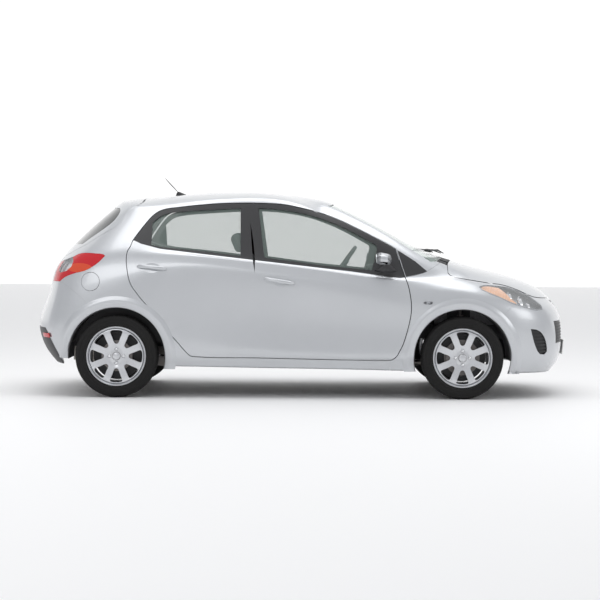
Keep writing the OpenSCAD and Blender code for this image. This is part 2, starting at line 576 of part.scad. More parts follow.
module rim() color([0.78, 0.79, 0.80]) difference() {
  union() {
    rotate_extrude($fn = 96) polygon([[rim_d / 2 - 9, -RIM_HALF_W], [rim_d / 2, -RIM_HALF_W], [rim_d / 2, -RIM_HALF_W + 6],
      [SEAT_R, -RIM_HALF_W + 8], [SEAT_R, -30], [SEAT_R - 14, -18], [SEAT_R - 14, 18], [SEAT_R, 30],
      [SEAT_R, RIM_HALF_W - 8], [rim_d / 2, RIM_HALF_W - 6], [rim_d / 2, RIM_HALF_W], [rim_d / 2 - 9, RIM_HALF_W],
      [SEAT_R - 7, RIM_HALF_W - 14], [SEAT_R - 7, 34], [SEAT_R - 21, 22], [SEAT_R - 21, -22], [SEAT_R - 7, -34],
      [SEAT_R - 7, -RIM_HALF_W + 14]]);
    rotate_extrude($fn = 96) polygon([[0, HUB_FACE], [70, HUB_FACE], [95, 48], [SEAT_R - 4, 52], [SEAT_R - 4, 74],
      [120, 70], [60, 62], [0, 62]]);
  }
  translate([0, 0, -100]) cylinder(d = hub_bore_d, h = 200, $fn = 64);
  for (k = [0:lug_count - 1]) rotate([0, 0, k * 360 / lug_count]) translate([lug_pcd / 2, 0, -100])
    cylinder(d = lug_hole_d, h = 200, $fn = 24);
  for (k = [0:7]) rotate([0, 0, k * 45]) translate([0, 0, HUB_FACE]) linear_extrude(60)
    offset(r = 8, $fn = 16) polygon([[84, -1], [84, 1], [176, 40], [184, 22], [186, 0], [184, -22], [176, -40]]);
}
module tyre() color([0.09, 0.09, 0.09]) rotate_extrude($fn = 96) {
  half = tyre_w / 2;
  flank = rim_d / 2 + fit;
  difference() {
    polygon([[SEAT_R + fit, -RIM_HALF_W + 8.5], [flank, -RIM_HALF_W + 6.5], [flank, -RIM_HALF_W - 1], [228, -half + 5],
      [250, -half], [272, -half + 6], [tyre_d / 2 - 8, -half + 16], [tyre_d / 2, -half + 30], [tyre_d / 2, half - 30],
      [tyre_d / 2 - 8, half - 16], [272, half - 6], [250, half], [228, half - 5], [flank, RIM_HALF_W + 1],
      [flank, RIM_HALF_W - 6.5], [SEAT_R + fit, RIM_HALF_W - 8.5]]);
    polygon([[150, -62], [222, -70], [250, -half + 10], [272, -half + 24], [tyre_d / 2 - 14, -half + 36],
      [tyre_d / 2 - 14, half - 36], [272, half - 24], [250, half - 10], [222, 70], [150, 62]]);
  }
}
KINGPIN_LEAN = 14;
BALL_JOINT_Z = 165; // height of the lower end of the steering axis
kingpin_y = wheel_y - 35.5;
STRUT_ROD_D = 20;
STRUT_TOP = 610; // how far up the steering axis the strut's top mount lies
// Places a child on the steering axis, a distance up it from the lower ball joint
module on_kingpin(up) translate([front_axle_x, kingpin_y, BALL_JOINT_Z]) rotate([KINGPIN_LEAN, 0, 0])
  translate([0, 0, up]) children();
module knuckle() color([0.35, 0.35, 0.36]) {
  difference() {
    union() {
      translate([front_axle_x, wheel_y, axle_z]) rotate([-90, 0, 0]) {
        translate([0, 0, -30]) cylinder(r = 62, h = 68, $fn = 64);
        cylinder(r = 128, h = 6, $fn = 64);
        translate([0, 0, 30]) cylinder(d = hub_bore_d - 2 * pin_clear, h = 40, $fn = 64);
      }
      on_kingpin(14) cylinder(r = 24, h = 431, $fn = 32);
      translate([front_axle_x - 30, wheel_y - 105, axle_z - 20]) cube([60, 85, 50]);
    }
    on_kingpin(-20) cylinder(d = 16 + 2 * pin_clear, h = 75, $fn = 32);
    on_kingpin(400) cylinder(d = STRUT_ROD_D + 2 * pin_clear, h = 100, $fn = 32);
  }
}
SUBFRAME_Z = 175;
module front_subframe() color([0.16, 0.16, 0.17]) {
  translate([front_axle_x - 190, -340, SUBFRAME_Z]) cube([260, 680, 60]);
  translate([front_axle_x - 190, -my(395) - 60, SUBFRAME_Z]) cube([60, 2 * my(395) + 120, 60]);
  both_sides() translate([front_axle_x - 190, my(395), SUBFRAME_Z]) cube([60, 60, mz(420) - SUBFRAME_Z - fit]);
  both_sides() {
    hull() {
      translate([front_axle_x, kingpin_y - 22, BALL_JOINT_Z - 18]) cylinder(r = 24, h = 20, $fn = 32);
      translate([front_axle_x, 340 + fit, 185]) translate([-40, 0, 0]) cube([80, 10, 30]);
    }
    on_kingpin(-10) cylinder(d = 16, h = 60, $fn = 32);
    on_kingpin(410) cylinder(d = STRUT_ROD_D, h = STRUT_TOP - 410, $fn = 32);
    on_kingpin(STRUT_TOP) cylinder(r = 75, h = 12, $fn = 48);
  }
}
module rear_axle() color([0.16, 0.16, 0.17]) {
  translate([rear_axle_x + 60, -540, axle_z - 60]) cube([90, 1080, 60]);
  both_sides() {
    hull() {
      translate([rear_axle_x - 30, 560, axle_z - 45]) cube([60, 40, 80]);
      translate([rear_axle_x + arch_r + 18 - 30 - fit, 540, axle_z - 85]) cube([30, 60, 60]);
    }
    translate([rear_axle_x, wheel_y, axle_z]) rotate([-90, 0, 0]) {
      translate([0, 0, -165]) cylinder(r = 45, h = 170, $fn = 48);
      cylinder(r = 110, h = 38, $fn = 64);
      translate([0, 0, 30]) cylinder(d = hub_bore_d - 2 * pin_clear, h = 40, $fn = 64);
    }
    translate([rear_axle_x + 60, my(479) - 55, axle_z + fit]) cylinder(r = 50, h = LOAD_FLOOR_Z - axle_z - 2 * fit, $fn = 48);
  }
}
module engine_block() color([0.3, 0.3, 0.32]) translate([front_axle_x - 120, -310, SUBFRAME_Z + 60 + fit]) cube([420, 620, 470]);
module exhaust() color([0.5, 0.48, 0.45]) {
  translate([mx(940), -60, FLOOR_Z - 22 - fit]) rotate([0, -90, 0]) cylinder(r = 22, h = mx(940) - mx(-1640), $fn = 32);
  translate([mx(-1700), -300, FLOOR_Z]) cube([220, 420, LOAD_FLOOR_Z - FLOOR_Z - fit]);
}
FLOOR_Z = mz(236);
FLOOR_T = 36;
LOAD_FLOOR_Z = mz(350);
// The cabin floor, the step up to the load floor, and the two front rails with their strut towers
module floor_pan() color([0.2, 0.2, 0.21]) {
  step_x = rear_axle_x + arch_r + 18;
  translate([step_x, -my(689), FLOOR_Z]) cube([mx(782) - step_x, 2 * my(689), FLOOR_T]);
  translate([step_x, -my(560), FLOOR_Z]) cube([30, 2 * my(560), LOAD_FLOOR_Z + FLOOR_T - FLOOR_Z]);
  translate([mx(-1780), -my(479), LOAD_FLOOR_Z]) cube([step_x + 30 - mx(-1780), 2 * my(479), FLOOR_T]);
  both_sides() {
    translate([mx(782) + fit, my(395), mz(420)]) cube([mx(1650) - mx(782), 60, 100]);
    translate([front_axle_x - 85, my(395) + 48, mz(500)]) cube([170, 12, mz(800) - mz(500)]);
    translate([front_axle_x - 85, my(395) + 48, mz(800) - 12]) cube([170, 190, 12]);
  }
}
module arch_liners() color([0.06, 0.06, 0.06]) both_sides() difference() {
  for (x = [front_axle_x, rear_axle_x]) translate([x, my(480), axle_z]) rotate([-90, 0, 0]) difference() {
    cylinder(r = arch_r * cos(180 / 64) - fit, h = my(800) - my(480), $fn = 64);
    translate([0, 0, -1]) cylinder(r = arch_r - 6, h = 400, $fn = 64);
    translate([-500, 20, -1]) cube([1000, 500, 500]);
  }
  on_kingpin(300) cylinder(d = STRUT_ROD_D + 8, h = 300, $fn = 32);
}

// ---- Cabin ----
module dashboard() color([0.2, 0.2, 0.21]) difference() {
  union() {
    dashboard_body();
    on_column() translate([0, 0, -270]) cylinder(r = 42, h = 130, $fn = 48);
  }
  on_column() translate([0, 0, -240]) cylinder(r = COLUMN_R + pin_clear, h = 300, $fn = 32);
}
COLUMN_R = 22;
// Places a child on the steering column, z towards the driver from the middle of the steering wheel
module on_column() translate([mx(STEERING[0]), my(STEERING[1]), mz(STEERING[2])]) rotate([0, -COLUMN_LEAN, 0]) children();
COLUMN_LEAN = 54.7;
module dashboard_body() translate([0, my(640), 0]) rotate([90, 0, 0]) linear_extrude(2 * my(640))
  offset(r = 20, $fn = 24) offset(delta = -20)
  polygon(mxz([[BULKHEAD_NOM - 0.3, 620], [BULKHEAD_NOM - 0.3, 890], [700, 925], [600, 925], [520, 880], [530, 760], [600, 640]]));
STEERING = [322, 350, 947];
module steering_wheel() color([0.12, 0.12, 0.12]) on_column() {
    rotate_extrude($fn = 64) translate([steering_wheel_d / 2 - 14, 0]) circle(14, $fn = 24);
    for (a = [90, 180, 270]) rotate([0, 0, a]) translate([30, -16, -8]) cube([steering_wheel_d / 2 - 50, 32, 14]);
    translate([0, 0, -26]) cylinder(r = 62, h = 34, $fn = 48);
    translate([0, 0, -230]) cylinder(r = COLUMN_R, h = 210, $fn = 32);
  }
module rounded_slab(size, r) translate([size[0] / 2, size[1] / 2, 0]) linear_extrude(size[2])
  offset(r = r, $fn = 24) square([size[0] - 2 * r, size[1] - 2 * r], center = true);
module seat() {
  translate([mx(-300), -seat_w / 2, mz(400)]) rounded_slab([520, seat_w, 130], 60);
  translate([mx(-280), -seat_w / 2, mz(400) + 130 + fit]) rotate([0, -22, 0]) {
    rounded_slab([110, seat_w, 540], 40);
    translate([10, seat_w / 2 - 130, 540 + fit]) rounded_slab([90, 260, 150], 35);
  }
  translate([mx(-260), -seat_w / 2 + 60, FLOOR_Z + FLOOR_T + fit])
    cube([400, seat_w - 120, mz(400) - FLOOR_Z - FLOOR_T - 2 * fit]);
}
module seats() color([0.25, 0.25, 0.26]) {
  for (s = [-1, 1]) translate([0, s * seat_spacing / 2, 0]) seat();
  translate([rear_axle_x + arch_r + 12, -my(560), mz(400)]) rounded_slab([430, 2 * my(560), 140], 50);
  translate([rear_axle_x + arch_r - 105, -my(470), mz(400) + 20]) rotate([0, -20, 0]) rounded_slab([110, 2 * my(470), 620], 40);
  translate([mx(-930), -my(540), FLOOR_Z + FLOOR_T + fit]) cube([320, 2 * my(540), mz(400) - FLOOR_Z - FLOOR_T - 2 * fit]);
}
// Two blades parked along the foot of the windscreen
module wipers() color(black_trim) {
  blade = [for (u = [12.2:0.55:14.95]) skin_at(7.14, u, -15)];
  for (s = [-1, 1]) for (k = [0:len(blade) - 2])
    scale([1, s, 1]) hull() for (p = [blade[k], blade[k + 1]]) translate(p) sphere(9, $fn = 6);
}
module aerial() color(black_trim) {
  foot = skin_at(LAST_ROW, 0.7, -0.8);
  hull() {
    translate(foot) rotate([0, -5.5, 0]) scale([1.6, 0.5, 1]) cylinder(r = 30, h = 6, $fn = 24);
    translate(foot + [-30, 0, 24]) sphere(9, $fn = 8);
  }
  translate(foot + [-30, 0, 24]) rotate([0, -42, 0]) cylinder(r1 = 4, r2 = 2.5, h = 145, $fn = 24);
}

floor_pan();
body_sides();
roof_panel();
cowl_panel();
front_wings();
front_bumper();
rear_bumper();
bonnet();
side(-1) door(FRONT_DOOR, FRONT_DOOR_GLASS, 0);  // front_door_right
side(1) door(FRONT_DOOR, FRONT_DOOR_GLASS, 0);  // front_door_left
side(-1) door(REAR_DOOR, REAR_DOOR_GLASS, 1);  // rear_door_right
side(1) door(REAR_DOOR, REAR_DOOR_GLASS, 1);  // rear_door_left
tailgate();
side(-1) door_glass(FRONT_DOOR_GLASS);  // front_door_glass_right
side(1) door_glass(FRONT_DOOR_GLASS);  // front_door_glass_left
side(-1) door_glass(REAR_DOOR_GLASS);  // rear_door_glass_right
side(1) door_glass(REAR_DOOR_GLASS);  // rear_door_glass_left
windscreen();
tailgate_glass();
side(-1) mirror_glass_unit();  // door_mirror_right
side(1) mirror_glass_unit();  // door_mirror_left
headlamps();
tail_lamps();
grille();
wipers();
aerial();
fuel_flap();
arch_liners();
front_subframe();
rear_axle();
engine_block();
exhaust();
side(-1) knuckle();  // knuckle_right
side(1) knuckle();  // knuckle_left
at_wheel(front_axle_x, -1) rim();  // front_rim_right
at_wheel(front_axle_x, 1) rim();  // front_rim_left
at_wheel(rear_axle_x, -1) rim();  // rear_rim_right
at_wheel(rear_axle_x, 1) rim();  // rear_rim_left
at_wheel(front_axle_x, -1) tyre();  // front_tyre_right
at_wheel(front_axle_x, 1) tyre();  // front_tyre_left
at_wheel(rear_axle_x, -1) tyre();  // rear_tyre_right
at_wheel(rear_axle_x, 1) tyre();  // rear_tyre_left
dashboard();
steering_wheel();
seats();
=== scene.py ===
import math

import bmesh
import bpy
import numpy as np
from mathutils import Matrix, Vector
from mathutils.bvhtree import BVHTree


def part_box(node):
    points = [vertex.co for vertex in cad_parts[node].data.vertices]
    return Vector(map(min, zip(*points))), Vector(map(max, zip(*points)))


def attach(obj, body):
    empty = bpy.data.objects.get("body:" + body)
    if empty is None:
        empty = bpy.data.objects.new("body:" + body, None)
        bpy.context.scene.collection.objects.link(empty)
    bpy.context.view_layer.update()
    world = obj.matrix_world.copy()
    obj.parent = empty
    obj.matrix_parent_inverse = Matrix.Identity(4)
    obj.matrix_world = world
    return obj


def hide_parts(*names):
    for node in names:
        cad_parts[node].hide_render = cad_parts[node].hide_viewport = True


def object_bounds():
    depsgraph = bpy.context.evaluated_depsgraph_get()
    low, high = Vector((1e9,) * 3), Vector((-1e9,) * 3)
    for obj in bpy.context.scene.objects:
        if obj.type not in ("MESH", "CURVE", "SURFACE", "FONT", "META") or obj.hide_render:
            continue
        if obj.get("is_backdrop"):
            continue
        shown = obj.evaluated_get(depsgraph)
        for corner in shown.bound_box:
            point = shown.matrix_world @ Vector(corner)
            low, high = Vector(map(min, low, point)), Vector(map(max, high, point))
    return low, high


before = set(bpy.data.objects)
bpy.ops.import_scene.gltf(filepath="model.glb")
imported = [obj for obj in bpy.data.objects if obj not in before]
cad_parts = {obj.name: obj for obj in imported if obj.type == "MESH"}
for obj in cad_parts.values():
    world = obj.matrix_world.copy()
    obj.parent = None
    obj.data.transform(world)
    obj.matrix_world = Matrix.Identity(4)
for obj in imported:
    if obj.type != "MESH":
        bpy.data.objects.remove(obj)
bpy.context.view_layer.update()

# ---- Camera ----
# It stands square to the car's right side, about thirteen metres off and a little above the door handles,
# tilted down by less than two degrees, with a long lens.
camera_data = bpy.data.cameras.new("camera")
camera_data.lens, camera_data.sensor_width = 103.0, 36.0
camera = bpy.data.objects.new("camera", camera_data)
bpy.context.scene.collection.objects.link(camera)
camera.location = (-0.0096, -13.13, 1.10)
camera.rotation_mode = "QUATERNION"
tilt = Matrix.Rotation(math.radians(90 - 1.82), 4, "X")
camera.rotation_quaternion = (tilt @ Matrix.Rotation(math.radians(0.353), 4, "Z")).to_quaternion()
bpy.context.scene.camera = camera
bpy.context.scene.view_settings.view_transform = "Standard"

# ---- Floor, backdrop and studio light ----
# The car stands on a plain pale painted floor before a glowing white paper backdrop, under three soft boxes
# and an even white sky. Materials are made with the two classes here.


class Value:
    """A socket in a material's node tree, on which arithmetic makes Math nodes."""

    def __init__(self, tree, socket):
        self.tree, self.socket = tree, socket

    def _math(self, operation, a, b):
        made = self.tree.nodes.new("ShaderNodeMath")
        made.operation = operation
        for place, side in zip(made.inputs, (a, b)):
            if isinstance(side, Value):
                self.tree.links.new(side.socket, place)
            else:
                place.default_value = side
        return Value(self.tree, made.outputs[0])

    def __add__(self, other): return self._math("ADD", self, other)
    def __radd__(self, other): return self._math("ADD", other, self)
    def __sub__(self, other): return self._math("SUBTRACT", self, other)
    def __rsub__(self, other): return self._math("SUBTRACT", other, self)
    def __mul__(self, other): return self._math("MULTIPLY", self, other)
    def __rmul__(self, other): return self._math("MULTIPLY", other, self)
    def __lt__(self, other): return self._math("LESS_THAN", self, other)
    def sin(self): return self._math("SINE", self, 0.0)


class Shader:
    """One material: its node tree, its Principled node and the object coordinates."""

    def __init__(self, name, colour, roughness, metallic=0.0, **inputs):
        self.material = bpy.data.materials.new(name)
        self.material.use_nodes = True
        self.tree = self.material.node_tree
        self.principled = self.tree.nodes["Principled BSDF"]
        self.set(self.principled, {"Base Color": (*colour, 1), "Roughness": roughness, "Metallic": metallic,
                                   **inputs})
        self.place = self.node("TexCoord")["Object"]

    def set(self, made, inputs):
        for key, given in inputs.items():
            if isinstance(given, Value):
                self.tree.links.new(given.socket, made.inputs[key])
            else:
                made.inputs[key].default_value = given

    def node(self, kind, settings=None, **inputs):
        """Adds a node: its settings first, then its inputs. Returns its outputs as Values, by name."""
        made = self.tree.nodes.new("ShaderNode" + kind)
        for key, setting in (settings or {}).items():
            setattr(made, key, setting)
        self.set(made, {(key.replace("_", " ") if isinstance(key, str) else key): v for key,
                        v in inputs.items()})
        return {out.name: Value(self.tree, out) for out in made.outputs if out.enabled}

    def noise(self, scale, detail=2.0):
        return self.node("TexNoise", Vector=self.place, Scale=scale, Detail=detail)["Fac"]

    def mix(self, factor, a, b):
        made = self.tree.nodes.new("ShaderNodeMix")
        made.data_type = "RGBA"
        for place, given in ((0, factor), (6, a), (7, b)):
            if isinstance(given, Value):
                self.tree.links.new(given.socket, made.inputs[place])
            else:
                made.inputs[place].default_value = given if place == 0 else (*given, 1)
        return Value(self.tree, made.outputs[2])

    def bump(self, height, distance, strength=1.0):
        self.set(self.principled, {"Normal": self.node("Bump", Height=height, Distance=distance,
                                                       Strength=strength)["Normal"]})

    def vary(self, **inputs):
        self.set(self.principled, {key.replace("_", " "): v for key, v in inputs.items()})


world = bpy.data.worlds.new("studio")
bpy.context.scene.world = world
world.use_nodes = True
world.node_tree.nodes["Background"].inputs["Color"].default_value = (0.96, 0.97, 1.0, 1)
world.node_tree.nodes["Background"].inputs["Strength"].default_value = 0.66

bpy.ops.mesh.primitive_plane_add(size=120)
floor = bpy.context.object
floor.name = "studio_floor"
plain = Shader("studio_floor", (0.93, 0.93, 0.93), 0.6)
plain.vary(Roughness=plain.noise(3.0) * 0.1 + 0.55)
floor.data.materials.append(plain.material)
floor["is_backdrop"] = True
bpy.ops.mesh.primitive_plane_add(size=160, location=(0, 34, 0), rotation=(math.radians(90), 0, 0))
bpy.ops.object.transform_apply(location=True, rotation=True, scale=True)
backdrop = bpy.context.object
backdrop.name = "studio_backdrop"
glow = Shader("studio_backdrop", (0.2, 0.2, 0.2), 0.9)
glow.set(glow.principled, {"Emission Color": (1, 1, 1, 1), "Emission Strength": 0.92})
backdrop.data.materials.append(glow.material)
backdrop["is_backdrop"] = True
for name, place, size, power, aim in (
    ("top_box", (0.0, -1.0, 6.5), (7.0, 4.0), 170, (0, 0, 0)),
    ("side_box", (-3.5, -9.0, 5.0), (5.0, 2.5), 75, (0, 0, 0.8)),
    ("nose_box", (8.0, -5.0, 3.5), (3.0, 3.0), 50, (1, 0, 0.6)),
):
    light = bpy.data.lights.new(name, "AREA")
    light.shape, light.size, light.size_y, light.energy = "RECTANGLE", *size, power
    lamp = bpy.data.objects.new(name, light)
    bpy.context.scene.collection.objects.link(lamp)
    lamp.location = place
    lamp.rotation_euler = (Vector(aim) - Vector(place)).to_track_quat("-Z", "Y").to_euler()

# ---- Body sides ----
# Pressed steel, welded and painted: sill, door frames, rear quarter and roof rail in one piece a side. All
# the skins are cut from one smooth surface, given here by its rows: they climb from the sill to the roof, and
# each goes from the tail's middle round to the nose.
SKIN = [
    # bottom edge of bumpers and sills
    [(-1840, 0, 240), (-1832, 250, 240), (-1798, 480, 238), (-1738, 640, 235), (-1630, 760, 232),
     (-1328, 800, 232), (-900, 800, 228), (-330, 802, 218), (200, 802, 212), (700, 802, 203),
     (1162, 792, 195), (1500, 755, 190), (1700, 650, 186), (1815, 480, 183), (1866, 250, 181),
     (1882, 0, 180)],
    # top of the sill
    [(-1912, 0, 330), (-1904, 262, 330), (-1866, 505, 330), (-1797, 670, 325), (-1668, 790, 320),
     (-1328, 826, 305), (-900, 828, 300), (-330, 830, 293), (200, 830, 288), (700, 830, 283),
     (1162, 822, 280), (1500, 790, 275), (1732, 680, 271), (1868, 500, 268), (1928, 262, 266),
     (1944, 0, 265)],
    # crease along the foot of the doors
    [(-1954, 0, 450), (-1946, 272, 450), (-1906, 524, 450), (-1830, 695, 442), (-1690, 812, 432),
     (-1328, 843, 440), (-900, 841, 430), (-330, 845, 362), (200, 846, 336), (700, 845, 322),
     (1162, 840, 370), (1500, 808, 385), (1745, 700, 382), (1886, 516, 382), (1946, 268, 384),
     (1960, 0, 386)],
    # hollow in the middle of the doors
    [(-1957, 0, 560), (-1949, 272, 560), (-1909, 528, 560), (-1836, 702, 556), (-1700, 822, 556),
     (-1328, 848, 600), (-900, 838, 600), (-330, 829, 550), (200, 829, 525), (700, 833, 505),
     (1162, 847, 560), (1500, 815, 520), (1748, 705, 512), (1888, 518, 510), (1946, 268, 512),
     (1959, 0, 513)],
    # shoulder line
    [(-1893, 0, 700), (-1887, 278, 700), (-1856, 530, 700), (-1800, 695, 702), (-1690, 803, 712),
     (-1328, 844, 790), (-900, 839, 900), (-330, 843, 858), (200, 846, 782), (700, 847, 692),
     (1162, 843, 715), (1500, 800, 650), (1735, 690, 632), (1868, 500, 626), (1915, 262, 623),
     (1928, 0, 621)],
    # above the shoulder, and the bonnet's front edge
    [(-1868, 0, 800), (-1862, 278, 800), (-1830, 524, 804), (-1776, 682, 812), (-1664, 782, 834),
     (-1328, 825, 905), (-900, 824, 985), (-330, 829, 925), (200, 833, 860), (700, 830, 790),
     (1162, 808, 800), (1480, 748, 748), (1690, 640, 716), (1800, 470, 714), (1848, 250, 717),
     (1860, 0, 718)],
    # under the windows, and the middle of the bonnet
    [(-1845, 0, 920), (-1838, 276, 920), (-1804, 510, 926), (-1745, 655, 938), (-1620, 748, 964),
     (-1328, 788, 1022), (-900, 800, 1040), (-330, 808, 986), (200, 811, 926), (700, 803, 862),
     (1120, 735, 872), (1370, 645, 850), (1530, 532, 842), (1612, 388, 850), (1652, 200, 857),
     (1664, 0, 859)],
    # foot of the windows all round
    [(-1726, 0, 1085), (-1716, 240, 1085), (-1675, 448, 1088), (-1598, 590, 1096), (-1475, 682, 1108),
     (-1240, 735, 1122), (-900, 772, 1060), (-330, 792, 994), (200, 793, 938), (600, 788, 884),
     (850, 748, 915), (938, 690, 985), (985, 590, 1003), (1015, 430, 1011), (1035, 225, 1014),
     (1040, 0, 1015)],
    # middle of the windows
    [(-1572, 0, 1240), (-1562, 218, 1240), (-1520, 405, 1240), (-1442, 535, 1240), (-1335, 606, 1240),
     (-1140, 655, 1238), (-850, 678, 1218), (-350, 697, 1195), (60, 706, 1150), (330, 706, 1110),
     (545, 692, 1140), (600, 622, 1205), (625, 520, 1209), (641, 380, 1211), (650, 198, 1212),
     (653, 0, 1212)],
    # top of the windows
    [(-1390, 0, 1396), (-1380, 200, 1395), (-1348, 365, 1390), (-1290, 478, 1378), (-1190, 548, 1358),
     (-1030, 582, 1344), (-790, 590, 1382), (-400, 596, 1405), (-130, 598, 1394), (50, 600, 1358),
     (172, 592, 1325), (200, 520, 1395), (222, 440, 1403), (238, 325, 1407), (246, 168, 1409),
     (248, 0, 1409)],
    # edge of the roof
    [(-1320, 0, 1430), (-1314, 190, 1428), (-1288, 335, 1420), (-1230, 432, 1409), (-1130, 492, 1402),
     (-975, 525, 1408), (-750, 540, 1432), (-400, 548, 1450), (-155, 545, 1439), (-10, 535, 1413),
     (80, 512, 1396), (115, 460, 1416), (128, 385, 1429), (136, 285, 1437), (141, 148, 1441),
     (142, 0, 1442)],
    # roof panel
    [(-1130, 0, 1456), (-1124, 115, 1455), (-1102, 212, 1452), (-1060, 288, 1450), (-985, 335, 1455),
     (-870, 358, 1466), (-690, 370, 1480), (-400, 376, 1488), (-215, 370, 1481), (-120, 350, 1471),
     (-65, 312, 1466), (-38, 262, 1467), (-24, 195, 1469), (-16, 130, 1471), (-11, 65, 1472),
     (-10, 0, 1473)],
    # middle of the roof
    [(-930, 0, 1475), (-915, 0, 1476), (-885, 0, 1479), (-845, 0, 1482), (-790, 0, 1487),
     (-715, 0, 1492), (-600, 0, 1498), (-430, 0, 1501), (-325, 0, 1499), (-275, 0, 1497),
     (-240, 0, 1495), (-215, 0, 1493), (-198, 0, 1492), (-186, 0, 1491), (-178, 0, 1490),
     (-175, 0, 1490)],
]
ROWS, STATIONS = len(SKIN) - 1, len(SKIN[0]) - 1
OVER = np.array([1, -1, 1])


def spline_control(grid):
    """Control points, by rows and stations, of the smooth surface that passes through the grid's points."""
    grid = np.concatenate([grid[:, 2:0:-1] * OVER, grid, grid[:, -2:-4:-1] * OVER], 1)
    below = [3 * grid[:1] - 2 * grid[1:2], 2 * grid[:1] - grid[1:2]]
    grid = np.concatenate([*below, grid, grid[-2:-4:-1] * OVER], 0)
    grid = (8 * grid[:, 1:-1] - grid[:, :-2] - grid[:, 2:]) / 6
    return (8 * grid[1:-1] - grid[:-2] - grid[2:]) / 6


CONTROL = spline_control(np.array(SKIN, float)) / 1000


def skin_grid(v, u, depth=0.0):
    """Points and outward normals of the car's left half at rows v and stations u, set in by depth."""
    def weights(t):
        s = 1 - t
        return (np.stack([s**3, 3 * t**3 - 6 * t**2 + 4, -3 * t**3 + 3 * t**2 + 3 * t + 1, t**3], -1) / 6,
                np.stack([-(s**2), 3 * t**2 - 4 * t, -3 * t**2 + 2 * t + 1, t**2], -1) / 2)

    i = np.minimum(np.floor(v).astype(int), ROWS - 1)
    j = np.minimum(np.floor(u).astype(int), STATIONS - 1)
    across, along = weights(v - i), weights(u - j)
    block = CONTROL[(i[:, None] + np.arange(4))[:, None, :, None],
                    (j[:, None] + np.arange(4))[None, :, None, :]]
    point = np.einsum("ia,jb,ijabc->ijc", across[0], along[0], block)
    climb = np.einsum("ia,jb,ijabc->ijc", across[1], along[0], block)
    run = np.einsum("ia,jb,ijabc->ijc", across[0], along[1], block)
    normal = np.cross(climb, run)
    normal /= np.maximum(np.linalg.norm(normal, axis=-1, keepdims=True), 1e-9)
    return point - depth * normal, normal


def new_object(name, points, faces):
    mesh = bpy.data.meshes.new(name)
    mesh.from_pydata([tuple(p) for p in points], [], faces)
    made = bpy.data.objects.new(name, mesh)
    bpy.context.scene.collection.objects.link(made)
    return made


def tidy_mesh(obj, weld=1e-5):
    """Welds close points and turns every face outwards."""
    bm = bmesh.new()
    bm.from_mesh(obj.data)
    bmesh.ops.remove_doubles(bm, verts=bm.verts, dist=weld)
    bmesh.ops.recalc_face_normals(bm, faces=bm.faces)
    if bm.calc_volume(signed=True) < 0:
        bmesh.ops.reverse_faces(bm, faces=bm.faces)
    bm.to_mesh(obj.data)
    bm.free()


def shell(name, rows, stations, outer, inner, whole=False, steps=8):
    """A closed slab of the skin between two depths, over some rows and stations, left only or whole."""
    v = np.linspace(*rows, round((rows[1] - rows[0]) * steps) + 1)
    u = np.linspace(*stations, round((stations[1] - stations[0]) * steps) + 1)
    n, m = len(v), len(u)
    points, faces = [], []
    for depth, flip in ((outer, False), (inner, True)):
        base = len(points)
        points.extend(skin_grid(v, u, depth)[0].reshape(-1, 3))
        for r in range(n - 1):
            for s in range(m - 1):
                quad = [base + r * m + s, base + (r + 1) * m + s, base + (r + 1) * m + s + 1, base + r * m
                        + s + 1]
                faces.append(quad[::-1] if flip else quad)
    far = n * m
    rim = [[(r * m, (r + 1) * m) for r in range(n - 1)],
           [(r * m + m - 1, (r + 1) * m + m - 1) for r in range(n - 1)],
           [(s, s + 1) for s in range(m - 1)], [((n - 1) * m + s, (n - 1) * m + s + 1) for s in range(m - 1)]]
    open_ends = [whole and stations[0] == 0, whole and stations[1] == STATIONS, False,
                 whole and rows[1] == ROWS]
    for edge, is_open in zip(rim, open_ends):
        if not is_open:
            faces.extend([a, b, b + far, a + far] for a, b in edge)
    if whole:
        count = len(points)
        points = list(points) + [p * OVER for p in points]
        faces = faces + [[k + count for k in reversed(f)] for f in faces]
    made = new_object(name, points, faces)
    tidy_mesh(made)
    return made


def curve(points, steps=5, corner=38):
    """The closed outline drawn smoothly through its points, with the sharp corners kept."""
    p = [np.array(q, float) for q in points]
    n = len(p)

    def is_corner(k):
        a, b = p[k] - p[k - 1], p[(k + 1) % n] - p[k]
        turn = math.degrees(abs(math.atan2(a[0] * b[1] - a[1] * b[0], a @ b)))
        return turn > corner

    out = []
    for k in range(n):
        a, b = p[k], p[(k + 1) % n]
        ta = (b - a) if is_corner(k) else (b - p[k - 1]) / 2
        tb = (b - a) if is_corner((k + 1) % n) else (p[(k + 2) % n] - a) / 2
        span = np.linalg.norm(b - a)
        ta, tb = (t / max(np.linalg.norm(t), 1e-9) * span for t in (ta, tb))
        for t in np.arange(steps) / steps:
            out.append((2 * t**3 - 3 * t**2 + 1) * a + (t**3 - 2 * t**2 + t) * ta
                       + (3 * t**2 - 2 * t**3) * b + (t**3 - t**2) * tb)
    return [tuple(q) for q in out]


def grown(outline, by):
    """The closed outline with each point moved outwards."""
    p = np.array(outline, float)
    before, after = p - np.roll(p, 1, 0), np.roll(p, -1, 0) - p
    area = np.sum(p[:, 0] * np.roll(p[:, 1], -1) - np.roll(p[:, 0], -1) * p[:, 1])
    side = []
    for d in (before, after):
        d = d / np.maximum(np.linalg.norm(d, axis=1, keepdims=True), 1e-9)
        side.append(np.stack([d[:, 1], -d[:, 0]], 1) * np.sign(area))
    mean = side[0] + side[1]
    mean /= np.maximum(np.sum(mean * side[0], 1, keepdims=True), 0.5)
    return [tuple(q) for q in p + by * mean]


